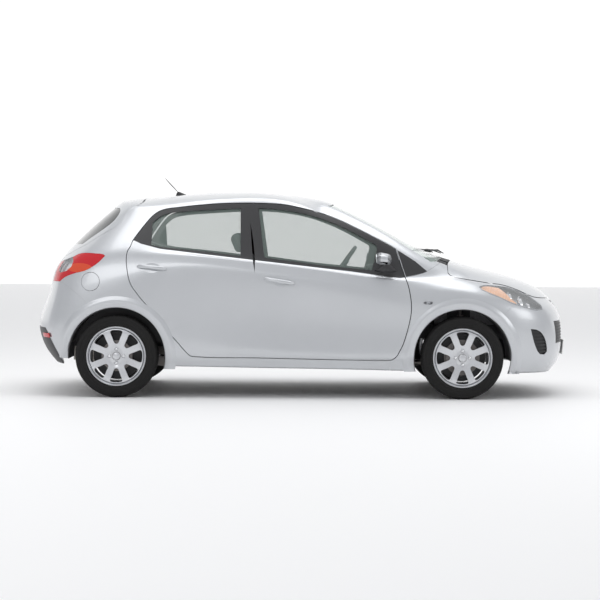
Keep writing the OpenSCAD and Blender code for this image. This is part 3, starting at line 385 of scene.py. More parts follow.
def prism(outline, axis, low, high, gap=0):
    """A closed prism on an outline in millimetres, run along an axis.

    Sides are drawn in x and z, fronts in y and z, and plans in x and y."""
    outline = grown(outline, gap) if gap else outline
    put = {"y": lambda a, b, c: (a, c, b), "x": lambda a, b, c: (c, a, b), "z": lambda a, b,
           c: (a, b, c)}[axis]
    n = len(outline)
    points = [Vector(put(a, b, c)) / 1000 for c in (low, high) for a, b in outline]
    faces = [list(range(n)), list(range(2 * n - 1, n - 1, -1))] + [[k, (k + 1) % n, n + (k + 1) % n, n + k]
                                                                   for k in range(n)]
    made = new_object("cutter", points, faces)
    tidy_mesh(made)
    return made


def carve(obj, keep=(), away=()):
    """Keeps what each cutter of the first list holds, and cuts away all of the second list."""
    jobs = [("INTERSECT", [k]) for k in keep] + ([("DIFFERENCE", list(away))] if away else [])
    for operation, cutters in jobs:
        group = bpy.data.collections.new("cutters")
        bpy.context.scene.collection.children.link(group)
        for cutter in cutters:
            group.objects.link(cutter)
        modifier = obj.modifiers.new("cut", "BOOLEAN")
        modifier.operation, modifier.solver, modifier.operand_type = operation, "MANIFOLD", "COLLECTION"
        modifier.collection = group
        bpy.context.view_layer.objects.active = obj
        bpy.ops.object.modifier_apply(modifier=modifier.name)
        for cutter in cutters:
            bpy.data.meshes.remove(cutter.data)
        bpy.data.collections.remove(group)
    return obj


AXLE_Z = 297


def arch(axle, radius, low=300, high=1100):
    """A cutter for a wheel arch: a round bar across the car at an axle."""
    turn = np.linspace(0, 2 * math.pi, 96, False)
    return prism([(axle + radius * math.cos(a), AXLE_Z + radius * math.sin(a)) for a in turn], "y", low, high)


def mirrored(obj, name):
    """A copy on the car's other side, with a mesh of its own."""
    made = obj.copy()
    made.data = obj.data.copy()
    made.name = made.data.name = name
    bpy.context.scene.collection.objects.link(made)
    made.data.transform(Matrix.Scale(-1, 4, (0, 1, 0)))
    made.data.flip_normals()
    return made


guide = shell("skin_guide", (0, ROWS), (0, STATIONS), 0.0, 0.2, whole=True, steps=10)
guide.data.polygons.foreach_set("use_smooth", [True] * len(guide.data.polygons))
guide_tree = BVHTree.FromPolygons([v.co for v in guide.data.vertices],
                                  [p.vertices for p in guide.data.polygons])
guide.hide_render = True


def pressed(obj, materials, body, nodes=(), inner_from=None):
    """Finishes a piece of the skin.

    Its outer face takes the true surface's normals and its deep faces the second material."""
    obj.data.materials.clear()
    for material in materials:
        obj.data.materials.append(material)
    mesh = obj.data
    outer = obj.vertex_groups.new(name="outer")
    depths = [guide_tree.find_nearest(v.co)[3] for v in mesh.vertices]
    outer.add([k for k, d in enumerate(depths) if d < 0.0004], 1.0, "REPLACE")
    mesh.polygons.foreach_set("use_smooth", [True] * len(mesh.polygons))
    if inner_from is not None:
        for poly in mesh.polygons:
            poly.material_index = int(min(depths[k] for k in poly.vertices) > inner_from)
    bpy.ops.object.select_all(action="DESELECT")
    obj.select_set(True)
    bpy.context.view_layer.objects.active = obj
    bpy.ops.object.shade_smooth_by_angle(angle=math.radians(35))
    transfer = obj.modifiers.new("normals", "DATA_TRANSFER")
    transfer.object = guide
    transfer.use_loop_data = True
    transfer.data_types_loops = {"CUSTOM_NORMAL"}
    transfer.loop_mapping = "POLYINTERP_NEAREST"
    transfer.vertex_group = outer.name
    bpy.ops.object.modifier_apply(modifier=transfer.name)
    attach(obj, body)
    if nodes:
        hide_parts(*nodes)
    return obj


# Shut lines and openings as seen from the side, with x and z in millimetres.
WINDOW_TOP = [(-1216, 1127), (-1173, 1194), (-1137, 1244), (-1101, 1290), (-1065, 1325), (-1029, 1346),
    (-978, 1361), (-920, 1368), (-812, 1381), (-594, 1400), (-387, 1405), (-232, 1402), (-123, 1394),
    (-14, 1373), (59, 1356), (168, 1325), (277, 1284), (386, 1232), (495, 1176), (604, 1120), (678, 1078)]
DOOR_GAP = [(-387, 1405), (-371, 1226), (-352, 1003), (-337, 913), (-326, 809), (-318, 705), (-305, 427),
    (-304, 294)]
FRONT_DOOR_EDGE = [(638, 283), (681, 307), (702, 342), (730, 398), (765, 516), (783, 607), (786, 676),
    (778, 746), (764, 815), (745, 871), (678, 1078)]
REAR_DOOR_EDGE = [(-1216, 1127), (-1230, 1088), (-1251, 1047), (-1256, 998), (-1251, 942), (-1236, 859),
    (-1214, 803), (-1185, 762), (-1142, 707), (-1084, 644), (-1012, 554), (-940, 465), (-867, 382),
    (-831, 340), (-781, 302)]
FRONT_DOOR = WINDOW_TOP[10:] + FRONT_DOOR_EDGE[-2::-1] + DOOR_GAP[:0:-1]
REAR_DOOR = WINDOW_TOP[:11] + DOOR_GAP[1:] + REAR_DOOR_EDGE[:0:-1]
WING = [(640, 150), (640, 860), (744, 874), (815, 888), (880, 906), (906, 918), (1012, 984), (1012, 1100),
    (1620, 1100), (1620, 150)]
BONNET_SIDE = [(1060, 1150), (1060, 908), (1080, 889), (1130, 874), (1200, 861), (1275, 849), (1370, 834),
    (1440, 826), (1500, 812), (1579, 784), (1636, 758), (1692, 736), (1760, 726), (1900, 722), (1900, 1150)]
FRONT_BUMPER = [(1400, 60), (1400, 520), (1445, 595), (1531, 680), (1600, 728), (1650, 760), (2200, 760),
                (2200, 60)]
REAR_BUMPER = [(-1420, 60), (-1420, 560), (-1490, 610), (-1560, 700), (-1640, 765), (-1745, 830),
               (-1880, 830),
    (-1890, 690), (-2200, 690), (-2200, 60)]
TAIL_LAMP = [(-1656, 1009), (-1613, 1030), (-1562, 1037), (-1490, 1034), (-1432, 1029), (-1414, 1017),
    (-1454, 975), (-1511, 933), (-1561, 908), (-1633, 890), (-1705, 862), (-1745, 830), (-1850, 830),
    (-1800, 960)]
TAILGATE_SIDE = [(-2200, 690), (-1870, 690), (-1600, 820), (-1400, 960), (-1400, 1060), (-1240, 1200),
    (-1256, 1345), (-1165, 1420), (-1165, 1700), (-2200, 1700)]
# Tailgate and windscreen from behind and in front, in y and z; roof and bonnet from above, in x and y.
TAILGATE_REAR = [(-500, 690), (500, 690), (545, 760), (590, 830), (600, 880), (500, 1000), (600, 1060),
    (628, 1100), (606, 1240), (528, 1345), (470, 1480), (-470, 1480), (-528, 1345), (-606, 1240),
                 (-628, 1100),
    (-600, 1060), (-500, 1000), (-600, 880), (-590, 830), (-545, 760)]
WINDSCREEN = [(-690, 985), (-600, 1003), (-430, 1012), (0, 1016), (430, 1012), (600, 1003), (690, 985),
    (622, 1205), (520, 1392), (440, 1402), (240, 1407), (0, 1409), (-240, 1407), (-440, 1402), (-520, 1392),
    (-622, 1205)]
ROOF = [(-1157, -410), (-1157, 410), (-1060, 478), (-750, 538), (-400, 546), (-155, 543), (-10, 532),
    (90, 520), (190, 514), (260, 440), (300, 0), (260, -440), (190, -514), (90, -520), (-10, -532),
    (-155, -543), (-400, -546), (-750, -538), (-1060, -478)]
BONNET_TOP = [(1140, 0), (1115, 300), (1060, 640), (1060, 900), (2200, 900), (2200, -900), (1060, -900),
              (1060, -640), (1115, -300)]
FRONT_AXLE, REAR_AXLE, FLARE_R = 1162, -1328, 398


def both(outline, gap=0):
    return prism(outline, "y", -1100, 1100, gap)


def left(outline, gap=0, low=300):
    return prism(outline, "y", low, 1100, gap)


def bonnet_cutter(gap):
    return carve(both(curve(BONNET_SIDE), gap), keep=[prism(BONNET_TOP, "z", 300, 1500, gap)])


def tailgate_cutter(gap):
    return carve(both(TAILGATE_SIDE, gap), keep=[prism(curve(TAILGATE_REAR), "x", -2300, -1000, gap)])


def screen_cutter(gap):
    return prism(curve(WINDSCREEN), "x", 150, 1048, gap)


def block(low, high, bevel=0.0):
    """A box between two corners in millimetres, with its edges rounded."""
    low, high = Vector(low) / 1000, Vector(high) / 1000
    bpy.ops.object.select_all(action="DESELECT")
    bpy.ops.mesh.primitive_cube_add(size=1, location=(low + high) / 2)
    made = bpy.context.object
    made.scale = high - low
    bpy.ops.object.transform_apply(location=True, rotation=True, scale=True)
    if bevel:
        rounding = made.modifiers.new("bevel", "BEVEL")
        rounding.width, rounding.segments = bevel / 1000, 3
        bpy.ops.object.modifier_apply(modifier=rounding.name)
        bpy.ops.object.shade_smooth_by_angle(angle=math.radians(40))
    return made


class Paint(Shader):
    """Silver metallic lacquer: fine flakes under clear coat."""

    def __init__(self, name="silver_paint"):
        super().__init__(name, (0.60, 0.63, 0.67), 0.34, 0.72)
        flake = self.noise(900.0, 1.0)
        cloud = self.noise(2.2, 3.0)
        self.vary(Base_Color=self.mix(flake * 0.5 + cloud * 0.35, (0.50, 0.515, 0.535), (0.66, 0.675, 0.695)),
                  Roughness=flake * 0.10 + 0.28, Coat_Weight=0.9, Coat_Roughness=0.04)
        self.bump(flake, 0.00004, 0.25)


paint = Paint().material
lining_shader = Shader("cabin_lining", (0.06, 0.06, 0.062), 0.75)
weave = lining_shader.noise(260.0, 4.0)
lining_shader.vary(Base_Color=lining_shader.mix(weave, (0.045, 0.046, 0.048), (0.085, 0.086, 0.088)),
                   Roughness=weave * 0.2 + 0.65)
lining_shader.bump(weave, 0.0004, 0.6)
lining = lining_shader.material

side = carve(shell("side", (0, 11), (0, 14), 0.0, 0.055), keep=[block((-2100, 8, 0), (1052, 1000, 1600))],
             away=[
    left(curve(FRONT_DOOR), 6), left(curve(REAR_DOOR), 6), left(WING, 1), left(curve(FRONT_BUMPER), 0.5,
                                                                               -10), left(curve(REAR_BUMPER),
                                                                                          0.5, -10),
    left(curve(TAIL_LAMP), 0.5, 400), prism(ROOF, "z", 1200, 1700), arch(FRONT_AXLE,
                                                                         FLARE_R), arch(REAR_AXLE, FLARE_R),
    bonnet_cutter(5), tailgate_cutter(5), screen_cutter(0.5), block((850, -660, 800), (1300, 660, 1500))])
flap_ring = [(-1515 + 65 * math.cos(a), 832 + 65 * math.sin(a))
             for a in np.linspace(0, 2 * math.pi, 64, False)]
right_side = mirrored(side, "body_side_right")
carve(right_side, away=[prism(flap_ring, "y", -1100, -700, 3)])
side.name = "body_side_left"
for piece in (side, right_side):
    pressed(piece, [paint, lining], "body", ["body_sides"], 0.02)

# ---- Front wings ----
# Thin pressed steel panels, bolted on between the door, the bonnet and the bumper, over the front wheels.
# Their lower edge follows the sill.
HEADLAMP = [(1279, 809), (1319, 820), (1398, 817), (1456, 811), (1507, 802), (1557, 786), (1615, 766),
    (1666, 735), (1710, 703), (1746, 672), (1753, 644), (1696, 640), (1594, 667), (1507, 695), (1435, 728),
    (1363, 757), (1297, 788)]


def pair(obj, name, materials, body, nodes, inner_from=None):
    """Finishes a left piece of the skin and its mirror image on the right."""
    other = mirrored(obj, name + "_right")
    obj.name = obj.data.name = name + "_left"
    made = []
    for piece, side in ((obj, "left"), (other, "right")):
        made.append(pressed(piece, materials, body.replace("SIDE", side),
                            [n.replace("SIDE", side) for n in nodes], inner_from))
    return made


wing = carve(shell("wing", (0, 9), (8, 14), 0.0, 0.008), keep=[left(WING, -0.5)], away=[
    left(curve(FRONT_DOOR), 6), left(curve(FRONT_BUMPER), 0.5, -10), left(curve(HEADLAMP), 0.5),
                                                                                        arch(FRONT_AXLE,
                                                                                             FLARE_R),
    bonnet_cutter(2.5), screen_cutter(1), block((850, -656, 800), (1300, 656, 1500))])
pair(wing, "front_wing", [paint], "body", ["front_wings"])

# ---- Bumpers ----
# Moulded plastic covers, painted with the car on the outside and left black within. The front one is open for
# the two grilles and the fog lamp recesses; the rear one runs round under the tailgate.
UPPER_SLOT = [(-430, 708), (430, 708), (340, 652), (-340, 652)]
LOWER_GRILLE = [(-590, 560), (590, 560), (560, 395), (-560, 395)]
FOG = [(1656, 508), (1703, 501), (1740, 480), (1769, 438), (1787, 382), (1791, 340), (1770, 318), (1733, 322),
    (1708, 353), (1682, 416)]
trim_shader = Shader("black_trim", (0.022, 0.022, 0.024), 0.42)
grain = trim_shader.noise(420.0, 3.0)
trim_shader.vary(Base_Color=trim_shader.mix(grain, (0.016, 0.016, 0.018), (0.034, 0.034, 0.036)),
                 Roughness=grain * 0.22 + 0.34)
trim_shader.bump(grain, 0.0002, 0.5)
trim = trim_shader.material
bumper = carve(shell("front_bumper", (0, 6), (9, STATIONS), 0.0, 0.014, whole=True),
               keep=[both(curve(FRONT_BUMPER), -0.5)], away=[
    both(curve(HEADLAMP), 0.5), bonnet_cutter(2.5), arch(FRONT_AXLE, FLARE_R, -1100,
                                                         1100), prism(curve(UPPER_SLOT), "x", 1500, 2300),
    prism(curve(LOWER_GRILLE), "x", 1500, 2300), prism(curve(FOG), "y", 610, 1100), prism(curve(FOG), "y",
                                                                                          -1100, -610)])
pressed(bumper, [paint, trim], "body", ["front_bumper"], 0.004)

bumper = carve(shell("rear_bumper", (0, 6), (0, 6), 0.0, 0.014, whole=True),
               keep=[both(curve(REAR_BUMPER), -0.5)], away=[
    both(curve(TAIL_LAMP), 0.5), tailgate_cutter(5), arch(REAR_AXLE, FLARE_R, -1100, 1100)])
pressed(bumper, [paint, trim], "body", ["rear_bumper"], 0.004)

# ---- Bonnet ----
# One pressed panel, painted, hinged at its rear edge and shut down over the wings and the nose.
bonnet = carve(shell("bonnet_panel", (3, 9), (10, STATIONS), 0.0, 0.014, whole=True),
               keep=[bonnet_cutter(-2.5)])
pressed(bonnet, [paint], "bonnet", ["bonnet"])

# ---- Roof ----
# One pressed panel between the two rails, painted above and lined below. The windscreen is glued in along its
# front edge.
roof = carve(shell("roof_skin", (8, ROWS), (0, STATIONS), 0.0, 0.020, whole=True),
             keep=[prism(curve(ROOF), "z", 1200, 1700, -0.5)],
             away=[screen_cutter(1)])
pressed(roof, [paint, lining], "body", ["roof_panel"], 0.012)

# ---- Tailgate ----
# Pressed steel with a lined inner face, hinged under the roof. Its front edge is cut back round the hinge
# axis, so that it can swing up past the roof.
TAILGATE_GLASS = [(-585, 1100), (585, 1100), (568, 1240), (500, 1335), (420, 1368), (-420, 1368),
                  (-500, 1335),
    (-568, 1240)]
hinge_sweep = [(-1105 + 72.5 * math.cos(a), 1410 + 72.5 * math.sin(a))
               for a in np.linspace(0, 2 * math.pi, 64, False)]
tailgate = carve(shell("tailgate_panel", (3, 11), (0, 6), 0.0, 0.036, whole=True), keep=[tailgate_cutter(0)],
                 away=[
    prism(curve(TAILGATE_GLASS), "x", -2300, -1180), prism(hinge_sweep, "y", -1000, 1000)])
pressed(tailgate, [paint, lining], "tailgate", ["tailgate"], 0.012)

# ---- Doors ----
# Each has a thin painted skin folded over a deeper inner body, and a black frame round its window above the
# belt. The inner body leaves room for the hinges on the body side.
FRONT_DOOR_GLASS = [(-316, 1370), (-194, 1363), (-86, 1350), (22, 1330), (131, 1299), (275, 1244),
                    (419, 1172),
    (506, 1123), (539, 1106), (546, 1078), (507, 925), (120, 962), (-269, 1012)]
REAR_DOOR_GLASS = [(-446, 1369), (-806, 1346), (-950, 1331), (-1021, 1310), (-1086, 1257), (-1085, 1096),
    (-1000, 1082), (-700, 1052), (-438, 1022)]
BELT = [(980, 918), (906, 918), (880, 906), (815, 888), (744, 874), (708, 870), (636, 877), (492, 897),
        (348, 917),
        (169, 936), (-11, 956), (-371, 996), (-730, 1036), (-1017, 1069), (-1161, 1106), (-1205, 1127)]
WINDOW_BAND = BELT + [(-1330, 1140), (-1330, 1480), (980, 1480)]


def joined(objects, name):
    """The objects as one piece."""
    bpy.ops.object.select_all(action="DESELECT")
    for obj in objects:
        obj.select_set(True)
    bpy.context.view_layer.objects.active = objects[0]
    bpy.ops.object.join()
    made = bpy.context.object
    made.name = made.data.name = name
    return made


for outline, glass, where in ((FRONT_DOOR, FRONT_DOOR_GLASS, "front"), (REAR_DOOR, REAR_DOOR_GLASS, "rear")):
    stations = (7, 13) if where == "front" else (4, 10)
    skin = carve(shell("skin", (0, 10), stations, 0.0, 0.006), keep=[left(curve(outline))],
                 away=[left(WINDOW_BAND)])
    rooms = [(740, 940, 900), (-400, -232, 960)] if where == "front" else [(-375, -175, 960)]
    body = carve(shell("inner", (0, 10), stations, 0.0055, 0.068), keep=[left(grown(outline, -16))],
                 away=[left(WINDOW_BAND, 2), left(glass), arch(REAR_AXLE, FLARE_R + 8)]
                 + [block((near, 0, 0), (far, 900, top)) for near, far, top in rooms])
    door = joined([skin, body], "door")
    pair(door, where + "_door_panel", [paint, lining], where + "_door_SIDE", [where + "_door_SIDE"],
         0.05)
    window = carve(shell("frame", (6, 11), stations, 0.0012, 0.030),
                   keep=[left(curve(outline)), left(WINDOW_BAND, -0.5)],
                   away=[left(curve(glass))])
    pair(window, where + "_window_frame", [trim], where + "_door_SIDE", [where + "_door_SIDE"])

# ---- Roof spoiler ----
# A moulded lip along the tailgate's top edge, painted with the car, that overhangs the rear glass.
sections = []
for y in np.linspace(-0.50, 0.50, 41):
    top, mid = (guide_tree.ray_cast(Vector((x, abs(y), 2)), Vector((0, 0, -1)))[0].z * 1000
                for x in (-1.190, -1.250))
    tail = -1310 + 45 * (abs(y) / 0.5) ** 4
    sections.append([(-1190, top + 0.6), (-1220, top + 0.5 * (mid - top) + 2.5),
                     (-1250, max(mid + 4, top - 16)), (tail + 6, top - 27), (tail, top - 31),
                     (tail + 2, top - 38), (tail + 14, top - 40), (-1262, mid - 7), (-1195, top - 10)])
m = len(sections[0])
points = [(x / 1000, y, z / 1000) for y, section in zip(np.linspace(-0.50, 0.50, 41), sections) for x,
          z in section]
faces = [[k * m + i, k * m + (i + 1) % m, (k + 1) * m + (i + 1) % m, (k + 1) * m + i] for k in range(40)
         for i in range(m)]
spoiler = new_object("roof_spoiler", points, faces + [list(range(m)),
                                                      list(range(len(points) - m, len(points)))[::-1]])
tidy_mesh(spoiler)
bpy.ops.object.select_all(action="DESELECT")
spoiler.select_set(True)
bpy.context.view_layer.objects.active = spoiler
bpy.ops.object.shade_smooth_by_angle(angle=math.radians(40))
spoiler.data.materials.append(paint)
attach(spoiler, "tailgate")

# ---- Windows ----
# Tempered side panes and rear pane, laminated windscreen, all tinted faintly green and let into black rubber.
glass_shader = Shader("clear_glass", (0.62, 0.76, 0.70), 0.02)
smear = glass_shader.noise(6.0, 3.0)
glass_shader.vary(Roughness=smear * 0.02 + 0.01, Alpha=smear * 0.01 + 0.20, Coat_Weight=1.0,
                  Coat_Roughness=0.01)
glass_shader.principled.inputs["Specular IOR Level"].default_value = 0.9
clear_glass = glass_shader.material
dark_shader = Shader("dark_glass", (0.03, 0.035, 0.035), 0.03)
smear = dark_shader.noise(5.0, 3.0)
dark_shader.vary(Roughness=smear * 0.03 + 0.015, Alpha=smear * 0.04 + 0.86, Coat_Weight=1.0,
                 Coat_Roughness=0.01)
dark_glass = dark_shader.material
for outline, stations, where in ((FRONT_DOOR_GLASS, (7, 13), "front"), (REAR_DOOR_GLASS, (4, 10), "rear")):
    pane = carve(shell("pane", (6, 11), stations, 0.010, 0.015), keep=[left(curve(outline), -0.3)])
    pair(pane, where + "_pane", [clear_glass], where + "_door_SIDE", [where + "_door_glass_SIDE"])
screen = carve(shell("windscreen_pane", (6, 11), (10, STATIONS), 0.0, 0.005, whole=True),
               keep=[screen_cutter(-0.3)])
pressed(screen, [clear_glass], "body", ["windscreen"])
rear_pane = carve(shell("tailgate_pane", (6, 11), (0, 5), 0.002, 0.007, whole=True),
                  keep=[prism(curve(TAILGATE_GLASS), "x", -2300, -1180, -0.3)])
pressed(rear_pane, [dark_glass], "tailgate", ["tailgate_glass"])

# ---- Wheel-arch flares ----
# The rolled lip round each arch: it swells out of the panel, then turns in and under towards the tyre.
for name, axle, front_foot, rear_foot in (("front_flare", FRONT_AXLE, 182, 197),
                                          ("rear_flare", REAR_AXLE, 205, 277)):
    profile = ((432, 0.6), (424, 2.5), (414, 5.5), (405, 7.5), (398, 8.0), (392, 7.0), (382, 3.0),
               (370, -2.5), (358, -8.0),
               (352, -11.0), (350, -15.0), (351, -30.0), (356, -30.0), (358, -15.0), (380, -10.0),
               (400, -8.0), (430, -6.0))
    angles = np.radians(np.linspace(-20, 200, 96))
    points = []
    for a in angles:
        for r, out in profile:
            x, z = (axle + r * math.cos(a)) / 1000, (AXLE_Z + r * math.sin(a)) / 1000
            hit = guide_tree.ray_cast(Vector((x, 1.2, z)), Vector((0, -1, 0)))[0]
            y = (hit or guide_tree.find_nearest(Vector((x, 0.83, z)))[0]).y
            points.append((x, y + out / 1000, z))
    m = len(profile)
    faces = [[k * m + i, k * m + (i + 1) % m, (k + 1) * m + (i + 1) % m, (k + 1) * m + i]
             for k in range(len(angles) - 1) for i in range(m)]
    faces += [list(range(m)), list(range(len(points) - m, len(points)))[::-1]]
    flare = new_object(name + "_left", points, faces)
    tidy_mesh(flare)
    carve(flare, away=[block((axle, 0, 0), (axle + 700, 1200, front_foot)),
                       block((axle - 700, 0, 0), (axle + 0.5, 1200, rear_foot))])
    for piece in (flare, mirrored(flare, name + "_right")):
        piece.data.materials.clear()
        piece.data.materials.append(paint)
        bpy.ops.object.select_all(action="DESELECT")
        piece.select_set(True)
        bpy.context.view_layer.objects.active = piece
        bpy.ops.object.shade_smooth_by_angle(angle=math.radians(50))
        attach(piece, "body")

# ---- Rims ----
# Eight-spoke cast alloy, lacquered silver, each held by four chromed nuts in their own recesses, with a plain
# pressed cap over the hub and a rubber valve.
alloy_shader = Shader("alloy_silver", (0.62, 0.63, 0.65), 0.3, 0.85)
cast = alloy_shader.noise(140.0, 3.0)
alloy_shader.vary(Base_Color=alloy_shader.mix(cast, (0.55, 0.56, 0.58), (0.70, 0.71, 0.73)), Roughness=cast
                  * 0.12 + 0.24,
                  Coat_Weight=0.7, Coat_Roughness=0.06)
alloy_shader.bump(cast, 0.0001, 0.3)
alloy = alloy_shader.material
rubber_shader = Shader("tyre_rubber", (0.010, 0.010, 0.010), 0.78)
dust = rubber_shader.noise(60.0, 4.0)
rubber_shader.vary(Base_Color=rubber_shader.mix(dust, (0.006, 0.006, 0.006), (0.018, 0.0175, 0.017)),
                   Roughness=dust * 0.15 + 0.7)
rubber_shader.principled.inputs["Specular IOR Level"].default_value = 0.28
rubber_shader.bump(rubber_shader.noise(700.0, 2.0), 0.0002, 0.5)
rubber = rubber_shader.material
chrome_shader = Shader("chrome", (0.82, 0.83, 0.84), 0.08, 1.0)
chrome_shader.vary(Roughness=chrome_shader.noise(90.0, 2.0) * 0.08 + 0.05)
chrome = chrome_shader.material


def lathe(name, profile, steps=96):
    """A ring spun from a closed profile of radius and height about Z, in millimetres."""
    points, faces, m = [], [], len(profile)
    for k in range(steps):
        a = 2 * math.pi * k / steps
        points += [(r * math.cos(a) / 1000, r * math.sin(a) / 1000, h / 1000) for r, h in profile]
        faces += [[k * m + i, k * m + (i + 1) % m, ((k + 1) % steps) * m + (i + 1) % m, ((k + 1) % steps)
                   * m + i] for i in range(m)]
    made = new_object(name, points, faces)
    tidy_mesh(made)
    return made


def smoothed(obj, angle=40, bevel=0.0, segments=2):
    """Rounds the sharp edges and shades the piece smooth between them."""
    bpy.ops.object.select_all(action="DESELECT")
    obj.select_set(True)
    bpy.context.view_layer.objects.active = obj
    if bevel:
        rounding = obj.modifiers.new("bevel", "BEVEL")
        rounding.width, rounding.segments = bevel / 1000, segments
        rounding.limit_method, rounding.angle_limit = "ANGLE", math.radians(32)
        bpy.ops.object.modifier_apply(modifier=rounding.name)
    bpy.ops.object.shade_smooth_by_angle(angle=math.radians(angle))
    return obj


def rod(radius, low, high, place=(0, 0), sides=32):
    """A round bar along Z between two heights, in millimetres."""
    bpy.ops.object.select_all(action="DESELECT")
    bpy.ops.mesh.primitive_cylinder_add(vertices=sides, radius=radius / 1000, depth=(high - low) / 1000,
                                        location=(place[0] / 1000, place[1] / 1000, (low + high) / 2000))
    bpy.ops.object.transform_apply(location=True, rotation=True, scale=True)
    return bpy.context.object


barrel = lathe("barrel", [(206, -84), (215, -84), (215, -79), (203, -74), (202, -30), (188, -18), (188, 18),
                          (202, 30), (202, 68),
                          (206, 76), (215, 78), (215.5, 83), (212, 85.5), (207, 85), (202, 79), (196, 66),
                          (194, 40), (181, 24),
                          (181, -20), (195, -34), (196, -76)])
dish = lathe("dish", [(29.5, 40), (70, 40), (95, 48), (196, 53), (197, 66), (194, 74.5), (186, 76),
                      (150, 74), (118, 70.5),
                      (84, 65.5), (62, 61), (46, 60), (38, 62), (29.5, 62)])
window = curve([(90, -8), (90, 8), (100, 17), (132, 29), (170, 44), (181, 40), (187, 22), (188, 0),
                (187, -22), (181, -40), (170, -44), (132, -29), (100, -17)], corner=60)
holes = []
for k in range(8):
    turn = Matrix.Rotation(math.radians(45 * k), 4, "Z")
    hole = prism(window, "z", 20, 120)
    hole.data.transform(turn)
    holes.append(hole)
for a in np.radians([0, 90, 180, 270]):
    holes += [rod(7, 20, 120, (50 * math.cos(a), 50 * math.sin(a))),
              rod(15, 54, 120, (50 * math.cos(a), 50 * math.sin(a)))]
carve(dish, away=holes)
smoothed(dish, 30, 2.6, 3)
cap = lathe("cap", [(0.2, 50), (28.5, 50), (29, 60), (28.5, 70), (26, 73), (23, 74), (21, 72.6), (19.5, 73),
                    (12, 75), (0.2, 75.8)], 48)
valve = rod(4, 62, 92, (0, -176), 16)
nuts = [lathe("nut", [(0.3, 36), (6.5, 36), (6.5, 54.5), (11.5, 54.5), (11.5, 61), (10, 64.5), (6, 67),
                      (0.3, 68)], 6) for _ in range(4)]
for nut, (a, b) in zip(nuts, ((50, 0), (0, 50), (-50, 0), (0, -50))):
    nut.data.transform(Matrix.Translation((a / 1000, b / 1000, 0)))
    smoothed(nut, 25, 0.8)
smoothed(barrel, 40)
smoothed(cap, 40)
for piece, material in ((barrel, alloy), (dish, alloy), (cap, alloy), (valve, rubber),
                        *((nut, chrome) for nut in nuts)):
    piece.data.materials.clear()
    piece.data.materials.append(material)
rim = joined([barrel, dish, cap, valve, *nuts], "rim")


# ---- Tyres ----
# Black radial tyres: grooved across and round the tread, with two raised bands on each outer wall.
tyre_profile = curve([(203, 74), (215.5, 80), (219, 88), (229, 94), (243, 97.3), (258, 97.5), (273, 94),
                      (284, 88.5), (290.5, 80),
                      (294.6, 68), (296.4, 45), (297, 0), (296.4, -45), (294.6, -68), (290.5, -80),
                      (284, -88.5), (273, -94),
                      (258, -97.5), (243, -97.3), (229, -94), (219, -88), (215.5, -80), (203, -74),
                      (208, -60), (240, -80),
                      (270, -80), (284, -60), (286, 0), (284, 60), (270, 80), (240, 80), (208, 60)], steps=3,
                     corner=80)
tyre = lathe("tyre", tyre_profile, 144)
grooves = [lathe("groove", [(290, c - 4), (299, c - 4.5), (299, c + 4.5), (290, c + 4)], 144)
           for c in (-45, -16, 16, 45)]
cuts = []
for k in range(72):
    for s in (-1, 1):
        bar = block((287, -1.6, 50), (300, 1.6, 92), 0)
        bar.data.transform(Matrix.Rotation(math.radians(18 * s), 4, "X"))
        if s < 0:
            bar.data.transform(Matrix.Scale(-1, 4, (0, 0, 1)))
            bar.data.flip_normals()
        bar.data.transform(Matrix.Rotation(math.radians(5 * k + 1.25 * (s + 1)), 4, "Z"))
        cuts.append(bar)
carve(tyre, away=grooves)
carve(tyre, away=cuts)
bands = [lathe("band", [(c, 96.3), (c + 1.2, 98.2), (c + 2.4, 98.2), (c + 3.6, 96.3)], 144)
         for c in (236, 262)]
smoothed(tyre, 35)
tyre = joined([tyre, *bands], "tyre")
smoothed(tyre, 35)
tyre.data.materials.clear()
tyre.data.materials.append(rubber)

# ---- Brakes ----
# Cast iron: a disc and its caliper behind each front rim, and a drum behind each rear one. A black pressed
# shield stands still behind them.
iron_shader = Shader("cast_iron", (0.20, 0.19, 0.185), 0.5, 0.7)
rust = iron_shader.noise(40.0, 5.0)
iron_shader.vary(Base_Color=iron_shader.mix(rust, (0.16, 0.16, 0.165), (0.27, 0.24, 0.22)), Roughness=rust
                 * 0.25 + 0.38)
iron_shader.bump(rust, 0.0004, 0.5)
iron = iron_shader.material
disc = lathe("disc", [(60, -10), (128, -10), (128, 12), (62, 12), (60, 36), (40, 38), (34, 39), (34, 4),
                      (52, 2)], 96)
smoothed(disc, 35)
drum = lathe("drum", [(33, 4), (100, 2), (112, 4), (112, 20), (108, 22), (100, 30), (60, 38.5), (33, 38.5)],
             96)
smoothed(drum, 35)
caliper = block((-118, -45, -28), (-70, 45, 34), 9)
shield = lathe("shield", [(36, -33), (150, -33), (168, -36), (174, -34), (174, -38), (150, -36.5),
                          (36, -36.5)], 96)
smoothed(shield, 35)
shield.data.materials.clear()
shield.data.materials.append(trim)
for piece in (disc, drum, caliper):
    piece.data.materials.clear()
    piece.data.materials.append(iron)

